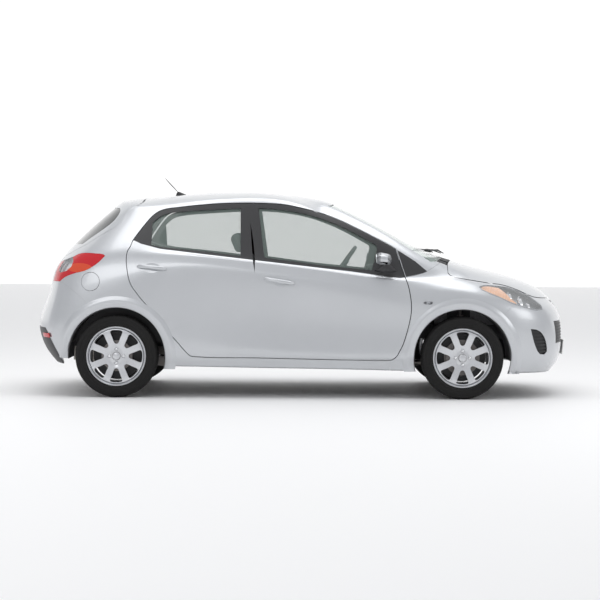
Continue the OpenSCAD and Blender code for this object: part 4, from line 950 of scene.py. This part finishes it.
WHEELS = (("front", "right", FRONT_AXLE, -1), ("front", "left", FRONT_AXLE, 1),
          ("rear", "right", REAR_AXLE, -1), ("rear", "left", REAR_AXLE, 1))
for end, hand, axle, sign in WHEELS:
    quarter = Matrix.Rotation(math.radians(-90 * sign), 4, "X")
    lay = Matrix.Translation((axle / 1000, sign * 0.7375, AXLE_Z / 1000)) @ quarter
    wheel = f"{end}_wheel_{hand}"
    if end == "front":
        knuckle = "knuckle_" + hand
        brake = [("disc", disc, wheel), ("caliper", caliper, knuckle), ("shield", shield, knuckle)]
    else:
        brake = [("drum", drum, wheel), ("shield", shield, "body")]
    for kind, source, body in [("rim", rim, wheel), ("tyre", tyre, wheel), *brake]:
        piece = source.copy()
        piece.data = source.data.copy()
        piece.name = piece.data.name = f"{end}_{hand}_{kind}"
        bpy.context.scene.collection.objects.link(piece)
        piece.data.transform(lay)
        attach(piece, body)
        if kind in ("rim", "tyre"):
            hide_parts(f"{end}_{kind}_{hand}")
            "alloy" if kind == "rim" else "tyre"
for source in (rim, tyre, disc, drum, caliper, shield):
    bpy.data.meshes.remove(source.data)

# ---- Rear arch linings ----
# Black moulded plastic, clipped in over each rear wheel: a hoop round the arch, closed by a wall on its
# inner side.
outer_arc, inner_arc = ([(REAR_AXLE + r * math.cos(a), AXLE_Z + r * math.sin(a)) for a in np.radians(sweep)]
                        for r, sweep in ((346, np.linspace(16, 164, 60)), (343, np.linspace(164, 16, 60))))
hoop = prism(outer_arc + inner_arc, "y", 588, 778)
wall = prism(outer_arc, "y", 584, 588.5)
liner = smoothed(joined([hoop, wall], "rear_arch_lining_left"), 30)
for piece in (liner, mirrored(liner, "rear_arch_lining_right")):
    piece.data.materials.clear()
    piece.data.materials.append(trim)
    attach(piece, "body")

# ---- Headlamps ----
# A clear moulded lens over a grey housing, with an amber indicator at its outer end and three bright
# reflector bowls, each with its bulb.
lens_shader = Shader("lamp_lens", (0.92, 0.94, 0.95), 0.03)
haze = lens_shader.noise(18.0, 2.0)
lens_shader.vary(Alpha=haze * 0.02 + 0.13, Roughness=haze * 0.04 + 0.01, Coat_Weight=1.0, Coat_Roughness=0.01)
lens = lens_shader.material
amber_shader = Shader("amber_lens", (0.85, 0.32, 0.03), 0.12)
flute = (amber_shader.node("SeparateXYZ", Vector=amber_shader.place)["X"] * 520.0).sin() * 0.5 + 0.5
amber_shader.vary(Base_Color=amber_shader.mix(flute, (0.78, 0.34, 0.13), (0.88, 0.52, 0.30)), Coat_Weight=1.0)
amber_shader.bump(flute, 0.001, 0.6)
amber = amber_shader.material
grey_shader = Shader("lamp_housing", (0.33, 0.34, 0.36), 0.35, 0.4)
speck = grey_shader.noise(200.0, 2.0)
grey_shader.vary(Base_Color=grey_shader.mix(speck, (0.28, 0.29, 0.31), (0.40, 0.41, 0.43)), Roughness=speck
                 * 0.2 + 0.25)
grey = grey_shader.material


def seated(x, z, depth):
    """A place in metres on the left side, at a depth under the skin, looked up from the side view."""
    hit, normal = guide_tree.ray_cast(Vector((x / 1000, 1.2, z / 1000)), Vector((0, -1, 0)))[:2]
    return hit - normal * depth / 1000, normal


def bowl(place, normal, radius, deep, name):
    """A round reflector bowl with its mouth at a place and facing out along a direction."""
    made = lathe(name, [(0.5, -deep), (radius * 0.55, -deep * 0.86), (radius * 0.85, -deep * 0.5),
                        (radius, 0), (radius + 3, 0),
                        (radius + 3, -4), (radius * 0.88, -deep * 0.55), (radius * 0.58, -deep * 0.93),
                        (0.5, -deep - 4)], 48)
    made.data.transform(Matrix.Translation(place) @ normal.to_track_quat("Z", "Y").to_matrix().to_4x4())
    return smoothed(made, 50)


lamp_outline = curve(HEADLAMP)
cover = carve(shell("headlamp_lens", (3, 8), (9, STATIONS), 0.0, 0.004), keep=[left(lamp_outline, -0.5)],
              away=[bonnet_cutter(2.5)])
pair(cover, "headlamp_lens", [lens], "body", ["headlamps"])
back = carve(shell("headlamp_back", (3, 8), (9, STATIONS), 0.050, 0.056), keep=[left(lamp_outline, -1)],
             away=[bonnet_cutter(2.5)])
pair(back, "headlamp_back", [grey], "body", ["headlamps"])
rim_wall = carve(shell("headlamp_rim", (3, 8), (9, STATIONS), 0.0045, 0.052), keep=[left(lamp_outline, -0.6)],
                 away=[left(grown(lamp_outline, -7)), bonnet_cutter(2.5)])
pair(rim_wall, "headlamp_rim", [grey], "body", ["headlamps"])
AMBER_BAND = [(1270, 700), (1270, 830), (1330, 818), (1430, 800), (1470, 770), (1500, 735), (1550, 695),
              (1570, 660), (1500, 640)]
band = carve(shell("headlamp_amber", (3, 8), (9, STATIONS), 0.006, 0.016),
             keep=[left(grown(lamp_outline, -8)), left(AMBER_BAND)])
pair(band, "headlamp_indicator", [amber], "body", ["headlamps"])
for x, z, radius, deep in ((1594, 716, 38, 28), (1516, 756, 29, 24), (1652, 684, 25, 20)):
    place, normal = seated(x, z, 16)
    facing = (normal + Vector((0.9, 0, -0.2))).normalized()
    reflector = bowl(place, facing, radius, deep, "headlamp_reflector")
    bulb = lathe("bulb", [(0.3, -deep + 2), (6, -deep + 3), (6.5, -8), (5, -3), (0.3, -2)], 24)
    bulb.data.transform(Matrix.Translation(place) @ facing.to_track_quat("Z", "Y").to_matrix().to_4x4())
    reflector.data.materials.append(chrome)
    smoothed(bulb, 50).data.materials.append(lens)
    for piece in (reflector, mirrored(reflector, "headlamp_reflector_right"), bulb,
                  mirrored(bulb, "headlamp_bulb_right")):
        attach(piece, "body")

# ---- Tail lamps ----
# Red moulded plastic with fine prism bars, an orange indicator low in it, and a clear cell over bright metal
# at its rear end.
red_shader = Shader("red_lens", (0.45, 0.008, 0.008), 0.08)
split = red_shader.node("SeparateXYZ", Vector=red_shader.place)
prism_bars = (split["Z"] * 1500.0).sin() * 0.5 + 0.5
edge = ((split["X"] + 1.60) * (split["X"] + 1.60) * 120.0 + (split["Z"] - 0.93) * (split["Z"] - 0.93)
        * 900.0) < 1.0
cell = red_shader.mix(prism_bars * 0.4, (0.52, 0.003, 0.010), (0.68, 0.012, 0.018))
red_shader.vary(Base_Color=red_shader.mix(edge * 0.7, cell, (0.72, 0.09, 0.02)), Coat_Weight=0.3,
                Coat_Roughness=0.02)
red_shader.bump(prism_bars, 0.0003, 0.3)
red = red_shader.material
tail_outline = curve(TAIL_LAMP)
CLEAR_CELLS = [(-1742, 962), (-1716, 1006), (-1660, 1012), (-1650, 975), (-1662, 938), (-1700, 905),
               (-1752, 893), (-1766, 915)]
shapes = (("tail_lamp_red", red, 0.0, 0.006, [left(tail_outline, -0.5)], [left(CLEAR_CELLS)]),
          ("tail_lamp_clear", lens, 0.0, 0.006, [left(tail_outline, -0.5), left(CLEAR_CELLS, -0.3)], []),
          ("tail_lamp_back", alloy, 0.030, 0.045, [left(tail_outline, -1)], []))
for name, material, near, deep, keeps, aways in shapes:
    piece = carve(shell(name, (3, 8), (0, 7), near, deep), keep=keeps, away=[*aways, tailgate_cutter(5)])
    pair(piece, name, [material], "body", ["tail_lamps"])

# ---- Grilles and fog lamp recesses ----
# Black moulded plastic: a backing behind each opening of the front bumper, with thin bars across it.
for name, opening, rows in (("upper_grille", UPPER_SLOT, (4, 6)), ("lower_grille", LOWER_GRILLE, (1, 5))):
    backing = carve(shell(name + "_back", rows, (12, STATIONS), 0.0145, 0.0225, whole=True),
                    keep=[prism(grown(curve(opening), 12), "x", 1500, 2300)])
    pressed(backing, [trim], "body", ["grille"])
    heights = range(400, 560, 22) if name == "lower_grille" else (668, 690)
    for z in heights:
        bar = carve(shell(name + "_bar", rows, (12, STATIONS), 0.002, 0.016, whole=True),
                    keep=[prism([(-700, z), (700, z), (700, z + 9), (-700, z + 9)], "x", 1500, 2300),
                          prism(curve(opening), "x", 1500, 2300, -0.5)])
        pressed(smoothed(bar, 30), [trim], "body")
fog = carve(shell("fog_recess", (0, 5), (9, 14), 0.0145, 0.0225),
            keep=[prism(grown(curve(FOG), 12), "y", 610, 1100)])
pair(fog, "fog_recess", [trim], "body", ["grille"])
for z in range(336, 500, 24):
    bar = carve(shell("fog_bar", (0, 5), (9, 14), 0.003, 0.0142),
                keep=[prism([(1600, z), (1850, z), (1850, z + 11), (1600, z + 11)], "y", 610, 1100),
                                                                    prism(grown(curve(FOG), -1), "y", 610,
                                                                          1100)])
    pair(bar, "fog_bar", [trim], "body", [])

# ---- Lower rear insert and reflectors ----
# A black grained plastic panel let into the rear bumper, with a small red reflector at each end.
BLACK_TAIL = [(-2100, 500), (-1858, 494), (-1843, 472), (-1806, 401), (-1769, 330), (-1739, 281),
              (-1700, 200), (-2100, 200)]
insert = carve(shell("rear_insert", (0, 4), (0, 6), -0.0015, 0.002, whole=True), keep=[both(BLACK_TAIL)],
               away=[arch(REAR_AXLE, FLARE_R, -1100, 1100)])
pressed(insert, [trim], "body")
place, normal = seated(-1845, 440, -2)
reflex = block((-62, -16, 0), (62, 16, 6), 3)
reflex.data.transform(Matrix.Translation(place) @ normal.to_track_quat("Z", "Y").to_matrix().to_4x4())
reflex.data.materials.append(red)
reflex.name = "rear_reflector_left"
for piece in (reflex, mirrored(reflex, "rear_reflector_right")):
    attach(piece, "body")

# ---- Number plates ----
# Blank white plates of pressed sheet under clear film, one on the nose and a smaller one on the tailgate.
plate_shader = Shader("plate_white", (0.80, 0.80, 0.78), 0.35)
film = plate_shader.noise(300.0, 2.0)
plate_shader.vary(Base_Color=plate_shader.mix(film, (0.74, 0.74, 0.72), (0.84, 0.84, 0.82)), Roughness=film
                  * 0.15 + 0.28)
for name, x, z, body in (("front_plate", 1972, 350, "body"), ("rear_plate", -1893, 790, "tailgate")):
    hit = guide_tree.ray_cast(Vector((3 if x > 0 else -3, 0, z / 1000)), Vector((-1 if x > 0 else 1, 0, 0)))
    out = 1 if x > 0 else -1
    plate = block((-3 + out * 5, -235 if x > 0 else -150, -55 if x > 0 else -38),
                  (3 + out * 5, 235 if x > 0 else 150, 55 if x > 0 else 38), 2.5)
    lean = Matrix.Rotation(math.atan2(hit[1].z, abs(hit[1].x)) * -out, 4, "Y")
    plate.data.transform(Matrix.Translation(hit[0] + Vector((out * 0.003, 0, 0))) @ lean)
    plate.data.materials.append(plate_shader.material)
    plate.name = name
    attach(plate, body)

# ---- Door handles ----
# Painted pull handles of moulded plastic, bowed out over a shallow dished cup in the door's skin.


def bar(points, width, thick, name, lean=Vector((0, 1, 0))):
    """A rounded bar along a run of places, in metres, given with its width and thickness in millimetres."""
    ring = [(math.cos(a), math.sin(a)) for a in np.linspace(0, 2 * math.pi, 12, False)]
    points = [Vector(p) for p in points]
    verts, faces = [], []
    for k, p in enumerate(points):
        run = (points[min(k + 1, len(points) - 1)] - points[max(k - 1, 0)]).normalized()
        side = run.cross(lean).normalized()
        out = side.cross(run)
        shrink = 0.45 if k in (0, len(points) - 1) else 1.0
        verts += [p + side * (c * width / 2000 * shrink) + out * (s * thick / 2000 * shrink) for c, s in ring]
    for k in range(len(points) - 1):
        faces += [[k * 12 + i, k * 12 + (i + 1) % 12, (k + 1) * 12 + (i + 1) % 12, (k + 1) * 12 + i]
                  for i in range(12)]
    faces += [list(range(12)), list(range(len(verts) - 12, len(verts)))]
    made = new_object(name, verts, faces)
    tidy_mesh(made)
    return smoothed(made, 60)


for where, (x0, z0), (x1, z1), cup_x in (("front", (-272, 862), (-46, 826), -140),
                                         ("rear", (-1178, 941), (-964, 925), -1072)):
    run = []
    for t in np.linspace(0, 1, 13):
        spot, normal = seated(x0 + (x1 - x0) * t, z0 + (z1 - z0) * t, 0)
        lift = 0.004 + 0.026 * math.sin(math.pi * t) ** 0.5
        run.append(spot + normal * lift)
    handle = bar(run, 27, 15, where + "_handle")
    spot, normal = seated(cup_x, z0 + (z1 - z0) * (cup_x - x0) / (x1 - x0), -0.6)
    cup = lathe("cup", [(0.3, -0.6), (30, -0.6), (44, 0.2), (50, 0.9), (54, 0.6), (54, -3), (0.3, -3)], 48)
    cup.data.transform(Matrix.Diagonal((1.25, 0.72, 1, 1)))
    cup.data.transform(Matrix.Translation(spot) @ normal.to_track_quat("Z", "Y").to_matrix().to_4x4())
    smoothed(cup, 50)
    for piece in (handle, cup):
        for made, hand in ((piece, "left"), (mirrored(piece, piece.name + "_right"), "right")):
            made.data.materials.clear()
            made.data.materials.append(paint)
            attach(made, f"{where}_door_{hand}")

# ---- Door mirrors and side repeaters ----
# A painted head with a silvered glass, on a black foot at the door's front corner, above a black
# corner panel. The repeater is a small grey lens let into each front wing.


def blob(centres, name):
    """A smooth closed shell round a few balls, given as place and size in millimetres."""
    balls = []
    for (x, y, z), size in centres:
        bpy.ops.mesh.primitive_uv_sphere_add(segments=24, ring_count=16, radius=1, location=(0, 0, 0))
        ball = bpy.context.object
        ball.data.transform(Matrix.Translation(Vector((x, y, z)) / 1000) @ Matrix.Diagonal((*[v / 1000
                                                                                              for v in size],
                                                                                            1)))
        balls.append(ball)
    made = joined(balls, name)
    bm = bmesh.new()
    bm.from_mesh(made.data)
    hull = bmesh.ops.convex_hull(bm, input=bm.verts)
    bmesh.ops.delete(bm, geom=list({v for v in hull["geom_interior"] if isinstance(v, bmesh.types.BMVert)}),
                     context="VERTS")
    loose = [v for v in bm.verts if not v.link_faces]
    bmesh.ops.delete(bm, geom=loose, context="VERTS")
    bmesh.ops.recalc_face_normals(bm, faces=bm.faces)
    bm.to_mesh(made.data)
    bm.free()
    return smoothed(made, 70)


head = blob([((560, 905, 1010), (34, 62, 44)), ((612, 905, 1004), (30, 56, 40)),
             ((578, 850, 1003), (30, 40, 38))], "mirror_head")
head.data.materials.clear()
head.data.materials.append(paint)
foot = blob([((560, 830, 925), (34, 26, 12)), ((640, 815, 922), (40, 24, 12)),
             ((600, 862, 968), (26, 20, 14))], "mirror_foot")
foot.data.materials.clear()
foot.data.materials.append(trim)
mirror_glass_shader = Shader("mirror_silver", (0.75, 0.77, 0.78), 0.03, 1.0)
mirror_glass_shader.vary(Roughness=mirror_glass_shader.noise(12.0, 2.0) * 0.03 + 0.02)
face = lathe("mirror_face", [(0.3, 0), (40, 0), (42, -1), (42, -5), (0.3, -5)], 48)
turned = Matrix.Rotation(math.radians(-90), 4, "Y") @ Matrix.Diagonal((0.8, 1.25, 1, 1))
face.data.transform(Matrix.Translation((0.5295, 0.905, 1.010)) @ turned)
face.data.materials.append(mirror_glass_shader.material)
smoothed(face, 40)
SAIL = [(880, 908), (906, 920), (823, 989), (713, 1059), (692, 1070), (752, 880), (815, 892)]
sail = carve(shell("mirror_sail", (5, 9), (8, 13), -0.0015, 0.004), keep=[left(SAIL)],
             away=[left(curve(FRONT_DOOR), 6)])
pair(sail, "mirror_sail", [trim], "body", [])
indicator = blob([((896, 0, 694), (20, 5, 11)), ((922, 0, 694), (20, 5, 11))], "side_repeater")
spot, normal = seated(909, 694, -1)
indicator.data.transform(Matrix.Translation((0, spot.y, 0)))
indicator.data.materials.clear()
indicator.data.materials.append(grey)
for piece in (head, foot, face, indicator):
    for made, hand in ((piece, "left"), (mirrored(piece, piece.name + "_right"), "right")):
        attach(made, "body" if piece is indicator else "front_door_" + hand)
        if piece is head:
            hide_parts("door_mirror_" + hand)

# ---- Wipers ----
# Two black steel arms with rubber blades, parked along the foot of the windscreen.
wiper_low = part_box("wipers")[0].z
for sign in (-1, 1):
    run, arm = [], []
    for t in np.linspace(0, 1, 12):
        side_y = (0.08 + 0.52 * t) * sign
        hit = guide_tree.ray_cast(Vector((1.3, abs(side_y), wiper_low + 0.004 + 0.012 * t)),
                                  Vector((-1, 0, 0)))
        spot, normal = hit[0], hit[1]
        spot = Vector((spot.x, side_y, spot.z))
        normal = Vector((normal.x, normal.y * sign, normal.z))
        run.append(spot + normal * 0.012)
        arm.append(spot + normal * 0.024 + Vector((0.012 * (1 - t), 0, 0)))
    rubber_strip = bar(run, 7, 16, "wiper_rubber")
    spine = bar(arm, 11, 7, "wiper_spine")
    pivot = arm[1] + Vector((0.07, 0.0, -0.02))
    lever = bar([pivot, (pivot + arm[6]) / 2 + Vector((0, 0, 0.012)), arm[6]], 14, 9, "wiper_arm")
    for piece, material in ((rubber_strip, rubber), (spine, trim), (lever, trim)):
        piece.data.materials.append(material)
        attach(piece, "body")
        if piece is spine:
            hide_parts("wipers")

# ---- Aerial ----
# A short black rubber-covered mast, leaning back from a moulded foot on the roof.
low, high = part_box("aerial")
foot = blob([((-917, 0, low.z * 1000 + 6), (46, 16, 8)), ((-940, 0, low.z * 1000 + 22), (16, 9, 12))],
            "aerial_foot")
foot.data.materials.clear()
foot.data.materials.append(trim)
mast = bar([(-0.940, 0, low.z + 0.024), (-0.975, 0, low.z + 0.062), (-1.010, 0, low.z + 0.098),
            (-1.044, 0, high.z - 0.001)], 6, 6, "aerial_mast")
mast.data.materials.append(rubber)
for piece in (foot, mast):
    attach(piece, "body")
    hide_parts("aerial")

# ---- Fuel flap ----
# A round painted flap in the right rear quarter, hinged at its front edge, flush with the skin when shut.
flap = carve(shell("fuel_flap_skin", (3, 7), (3, 6), 0.0, 0.004), keep=[prism(flap_ring, "y", 300, 1100)])
flap = mirrored(flap, "fuel_flap_skin_right")
bpy.data.objects.remove(bpy.data.objects["fuel_flap_skin"])
pressed(flap, [paint], "fuel_flap", ())

# ---- Seats ----
# Woven grey cloth over foam, creased along the seams, on lined steel frames. The two front seats have a
# headrest each on two bright posts.
cloth_shader = Shader("seat_cloth", (0.055, 0.056, 0.06), 0.9)
where_at = cloth_shader.node("SeparateXYZ", Vector=cloth_shader.place)
warp = (where_at["Y"] * 2600.0).sin() * 0.5 + 0.5
weft = ((where_at["Z"] + where_at["X"]) * 2600.0).sin() * 0.5 + 0.5
fuzz = cloth_shader.noise(240.0, 4.0)
cloth_shader.vary(Base_Color=cloth_shader.mix(warp * 0.4 + fuzz * 0.6, (0.040, 0.041, 0.045),
                                              (0.11, 0.112, 0.118)), Roughness=fuzz * 0.15 + 0.8)
cloth_shader.bump(warp * weft + fuzz, 0.0006, 0.7)
cloth = cloth_shader.material


def cushion(low, high, lean, pivot, name, crown=22, seams=()):
    """A padded closed form between two corners in millimetres, crowned, creased at its seams, leaned back."""
    bpy.ops.object.select_all(action="DESELECT")
    low, high = Vector(low), Vector(high)
    bpy.ops.mesh.primitive_cube_add(size=2)
    made = bpy.context.object
    made.name = name
    bpy.ops.object.mode_set(mode="EDIT")
    bpy.ops.mesh.select_all(action="SELECT")
    bpy.ops.mesh.subdivide(number_cuts=19)
    bpy.ops.object.mode_set(mode="OBJECT")
    half = (high - low) / 2
    thin = min(range(3), key=lambda k: half[k])
    wide = [k for k in range(3) if k != thin]
    for vertex in made.data.vertices:
        p = Vector(vertex.co)
        edge = [abs(p[k]) for k in wide]
        fall = (1 - edge[0] ** 6) * (1 - edge[1] ** 6)
        q = Vector(p[k] * half[k] for k in range(3))
        round_off = 1 - 0.22 * max(0.0, abs(p[thin])) ** 3 * (1 - fall)
        for k in wide:
            q[k] = p[k] * half[k] * (1 - 0.05 * abs(p[thin]) ** 2)
        crease = sum(math.exp(-(((p[axis] - at) / 0.035) ** 2)) for axis, at in seams)
        swell = crown * 0.35 * fall - 7 * min(crease, 1.0) * (abs(p[thin]) > 0.9)
        q[thin] = p[thin] * half[thin] * (0.72 + 0.28 * fall) * round_off
        q[thin] += math.copysign(swell, p[thin]) * (abs(p[thin]) > 0.5)
        vertex.co = q / 1000
    made.data.transform(Matrix.Translation((low + high) / 2000))
    if lean:
        at = Matrix.Translation(Vector(pivot) / 1000)
        made.data.transform(at @ Matrix.Rotation(math.radians(-lean), 4, "Y") @ at.inverted())
    smooth = made.modifiers.new("smooth", "SMOOTH")
    smooth.iterations = 3
    bpy.context.view_layer.objects.active = made
    bpy.ops.object.modifier_apply(modifier=smooth.name)
    bpy.ops.object.shade_smooth_by_angle(angle=math.radians(60))
    made.data.materials.clear()
    made.data.materials.append(cloth)
    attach(made, "body")
    return made


post_shader = Shader("seat_post", (0.5, 0.5, 0.51), 0.2, 1.0)
post_shader.vary(Roughness=post_shader.noise(80.0, 2.0) * 0.1 + 0.15)
for y in (-350, 350):
    base = cushion((-296, y - 248, 404), (216, y + 248, 534), 0, None, "seat_base",
                   seams=((1, -0.55), (1, 0.55), (0, 0.0)))
    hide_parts("seats")
    cushion((-278, y - 240, 540), (-176, y + 240, 1066), 22, (-280, 0, 530), "seat_back",
            seams=((1, -0.55), (1, 0.55), (2, 0.25)))
    cushion((-272, y - 128, 1074), (-186, y + 128, 1216), 22, (-280, 0, 530), "headrest")
    for side_y in (-60, 60):
        post = rod(6, 0, 60, (0, 0), 16)
        post.data.transform(Matrix.Translation((-0.230, (y + side_y) / 1000, 1.035)))
        at = Matrix.Translation((-0.28, 0, 0.53))
        post.data.transform(at @ Matrix.Rotation(math.radians(-22), 4, "Y") @ at.inverted())
        post.data.materials.append(post_shader.material)
        smoothed(post, 40)
        post.name = "headrest_post"
        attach(post, "body")
    plinth = block((-258, y - 188, 274), (138, y + 188, 398), 10)
    plinth.data.materials.append(lining)
    plinth.name = "seat_frame"
    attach(plinth, "body")
cushion((-964, -556, 404), (-540, 556, 538), 0, None, "rear_bench", seams=((1, -0.34), (1, 0.34), (0, 0.1)))
cushion((-1080, -466, 424), (-976, 466, 1034), 20, (-1083, 0, 420), "rear_backrest",
        seams=((1, -0.34), (1, 0.34), (2, 0.2)))
plinth = block((-928, -538, 274), (-612, 538, 398), 10)
plinth.data.materials.append(lining)
plinth.name = "rear_seat_frame"
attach(plinth, "body")

# ---- Steering wheel ----
# A black padded rim on three spokes, with a round pad in the middle and its column behind it.
column = Matrix.Translation((0.322, 0.35, 0.947)) @ Matrix.Rotation(math.radians(-54.7), 4, "Y")
grip = lathe("steering_grip", [(171 + 13.5 * math.cos(a), 13.5 * math.sin(a))
                               for a in np.linspace(0, 2 * math.pi, 16, False)], 64)
pad = lathe("steering_pad", [(0.3, -24), (60, -24), (64, -14), (62, 2), (48, 8), (0.3, 10)], 48)
stalk = rod(21, -228, -20, sides=32)
spokes = []
for a in (90, 180, 270):
    spoke = block((52, -17, -9), (162, 17, 5), 5)
    spoke.data.transform(Matrix.Rotation(math.radians(a), 4, "Z"))
    spokes.append(spoke)
for piece in (grip, pad, stalk, *spokes):
    smoothed(piece, 50)
wheel = joined([grip, pad, stalk, *spokes], "steering_wheel_rim")
wheel.data.transform(column)
wheel.data.materials.clear()
wheel.data.materials.append(trim)
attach(wheel, "steering_wheel")
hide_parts("steering_wheel")

# ---- Dashboard ----
# A soft black moulding across the car, with a hood over the dials, a shroud round the steering column and a
# dark radio panel.
DASH = curve([(769, 622), (769, 888), (700, 924), (600, 924), (530, 884), (534, 762), (600, 642)], corner=70)
dash = smoothed(prism(DASH, "y", -638, 638), 40, 14, 4)
shroud = lathe("column_shroud", [(23, -268), (41, -266), (42, -200), (38, -142), (23, -141)], 48)
smoothed(shroud, 40)
shroud.data.transform(column)
hood = blob([((560, 250, 930), (60, 40, 30)), ((560, 450, 930), (60, 40, 30)),
             ((640, 350, 915), (80, 110, 25))], "dial_hood")
dash = joined([dash, shroud, hood], "dashboard_shell")
dash.data.materials.clear()
dash.data.materials.append(lining)
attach(dash, "body")
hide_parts("dashboard")
screen_face = block((521, -90, 800), (529, 90, 880), 3)
screen_face.data.materials.append(dark_glass)
screen_face.name = "radio_panel"
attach(screen_face, "body")

# ---- Floor, bulkhead, engine bay and running gear ----
# Pressed and welded steel under grey sealer, black cast arms, an aluminium engine and a steel exhaust.
sealer_shader = Shader("underbody_sealer", (0.05, 0.05, 0.052), 0.8)
pebble = sealer_shader.noise(90.0, 4.0)
sealer_shader.vary(Base_Color=sealer_shader.mix(pebble, (0.035, 0.035, 0.037), (0.08, 0.08, 0.082)),
                   Roughness=pebble * 0.2 + 0.7)
sealer_shader.bump(pebble, 0.001, 0.6)
steel_shader = Shader("exhaust_steel", (0.42, 0.40, 0.37), 0.35, 0.9)
stain = steel_shader.noise(14.0, 4.0)
steel_shader.vary(Base_Color=steel_shader.mix(stain, (0.34, 0.31, 0.28), (0.52, 0.50, 0.47)),
                  Roughness=stain * 0.25 + 0.25)
block_shader = Shader("engine_alloy", (0.36, 0.36, 0.37), 0.5, 0.7)
sand = block_shader.noise(120.0, 4.0)
block_shader.vary(Base_Color=block_shader.mix(sand, (0.28, 0.28, 0.29), (0.44, 0.44, 0.45)), Roughness=sand
                  * 0.2 + 0.4)
block_shader.bump(sand, 0.0006, 0.6)
for names, material in ((("floor_pan", "cowl_panel", "arch_liners"), sealer_shader.material),
                        (("front_subframe", "rear_axle"), iron),
                        (("knuckle_right", "knuckle_left"), iron), (("exhaust",), steel_shader.material),
                        (("engine_block",), block_shader.material), (("fuel_flap",), paint)):
    for name in names:
        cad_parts[name].data.materials.clear()
        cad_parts[name].data.materials.append(material)

# ---- Pillars and sills ----
# Folded steel boxes inside the body sides, which carry the doors: the pillars are lined, the sills painted.
for index, (low, high) in enumerate((((-345, 690, 286), (-240, 730, 985)), ((748, 690, 286), (800, 730, 900)),
                                     ((-900, 690, 226), (790, 756, 285.8)),
                                     ((800.2, 690, 500), (872, 730, 900)))):
    post = block(low, high, 6)
    post.name = "pillar_left"
    for piece in (post, mirrored(post, "pillar_right")):
        piece.data.materials.clear()
        piece.data.materials.append(paint if index == 2 else lining)
        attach(piece, "body")

# ---- Door hinges ----
# Two painted forged hinges a door: a steel pin between two ears that stand out from the pillar.
for x, y, heights in ((856, 817, (580, 720)), (-259, 815, (480, 800))):
    for z in heights:
        pieces = [rod(6, z - 20, z + 20, (x, y))] + [block((x - 11, 730.2, z + k * 22 - 5),
                                                           (x + 11, y + 11, z + k * 22 + 5), 2)
                                                     for k in (-1, 1)]
        hinge = smoothed(joined(pieces, "door_hinge_left"), 40)
        hinge.data.materials.clear()
        hinge.data.materials.append(paint)
        for piece in (hinge, mirrored(hinge, "door_hinge_right")):
            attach(piece, "body")

# ---- Close ----
# The hand tools are put away, and the size of the car is measured.
bpy.data.objects.remove(guide)
low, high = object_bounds()
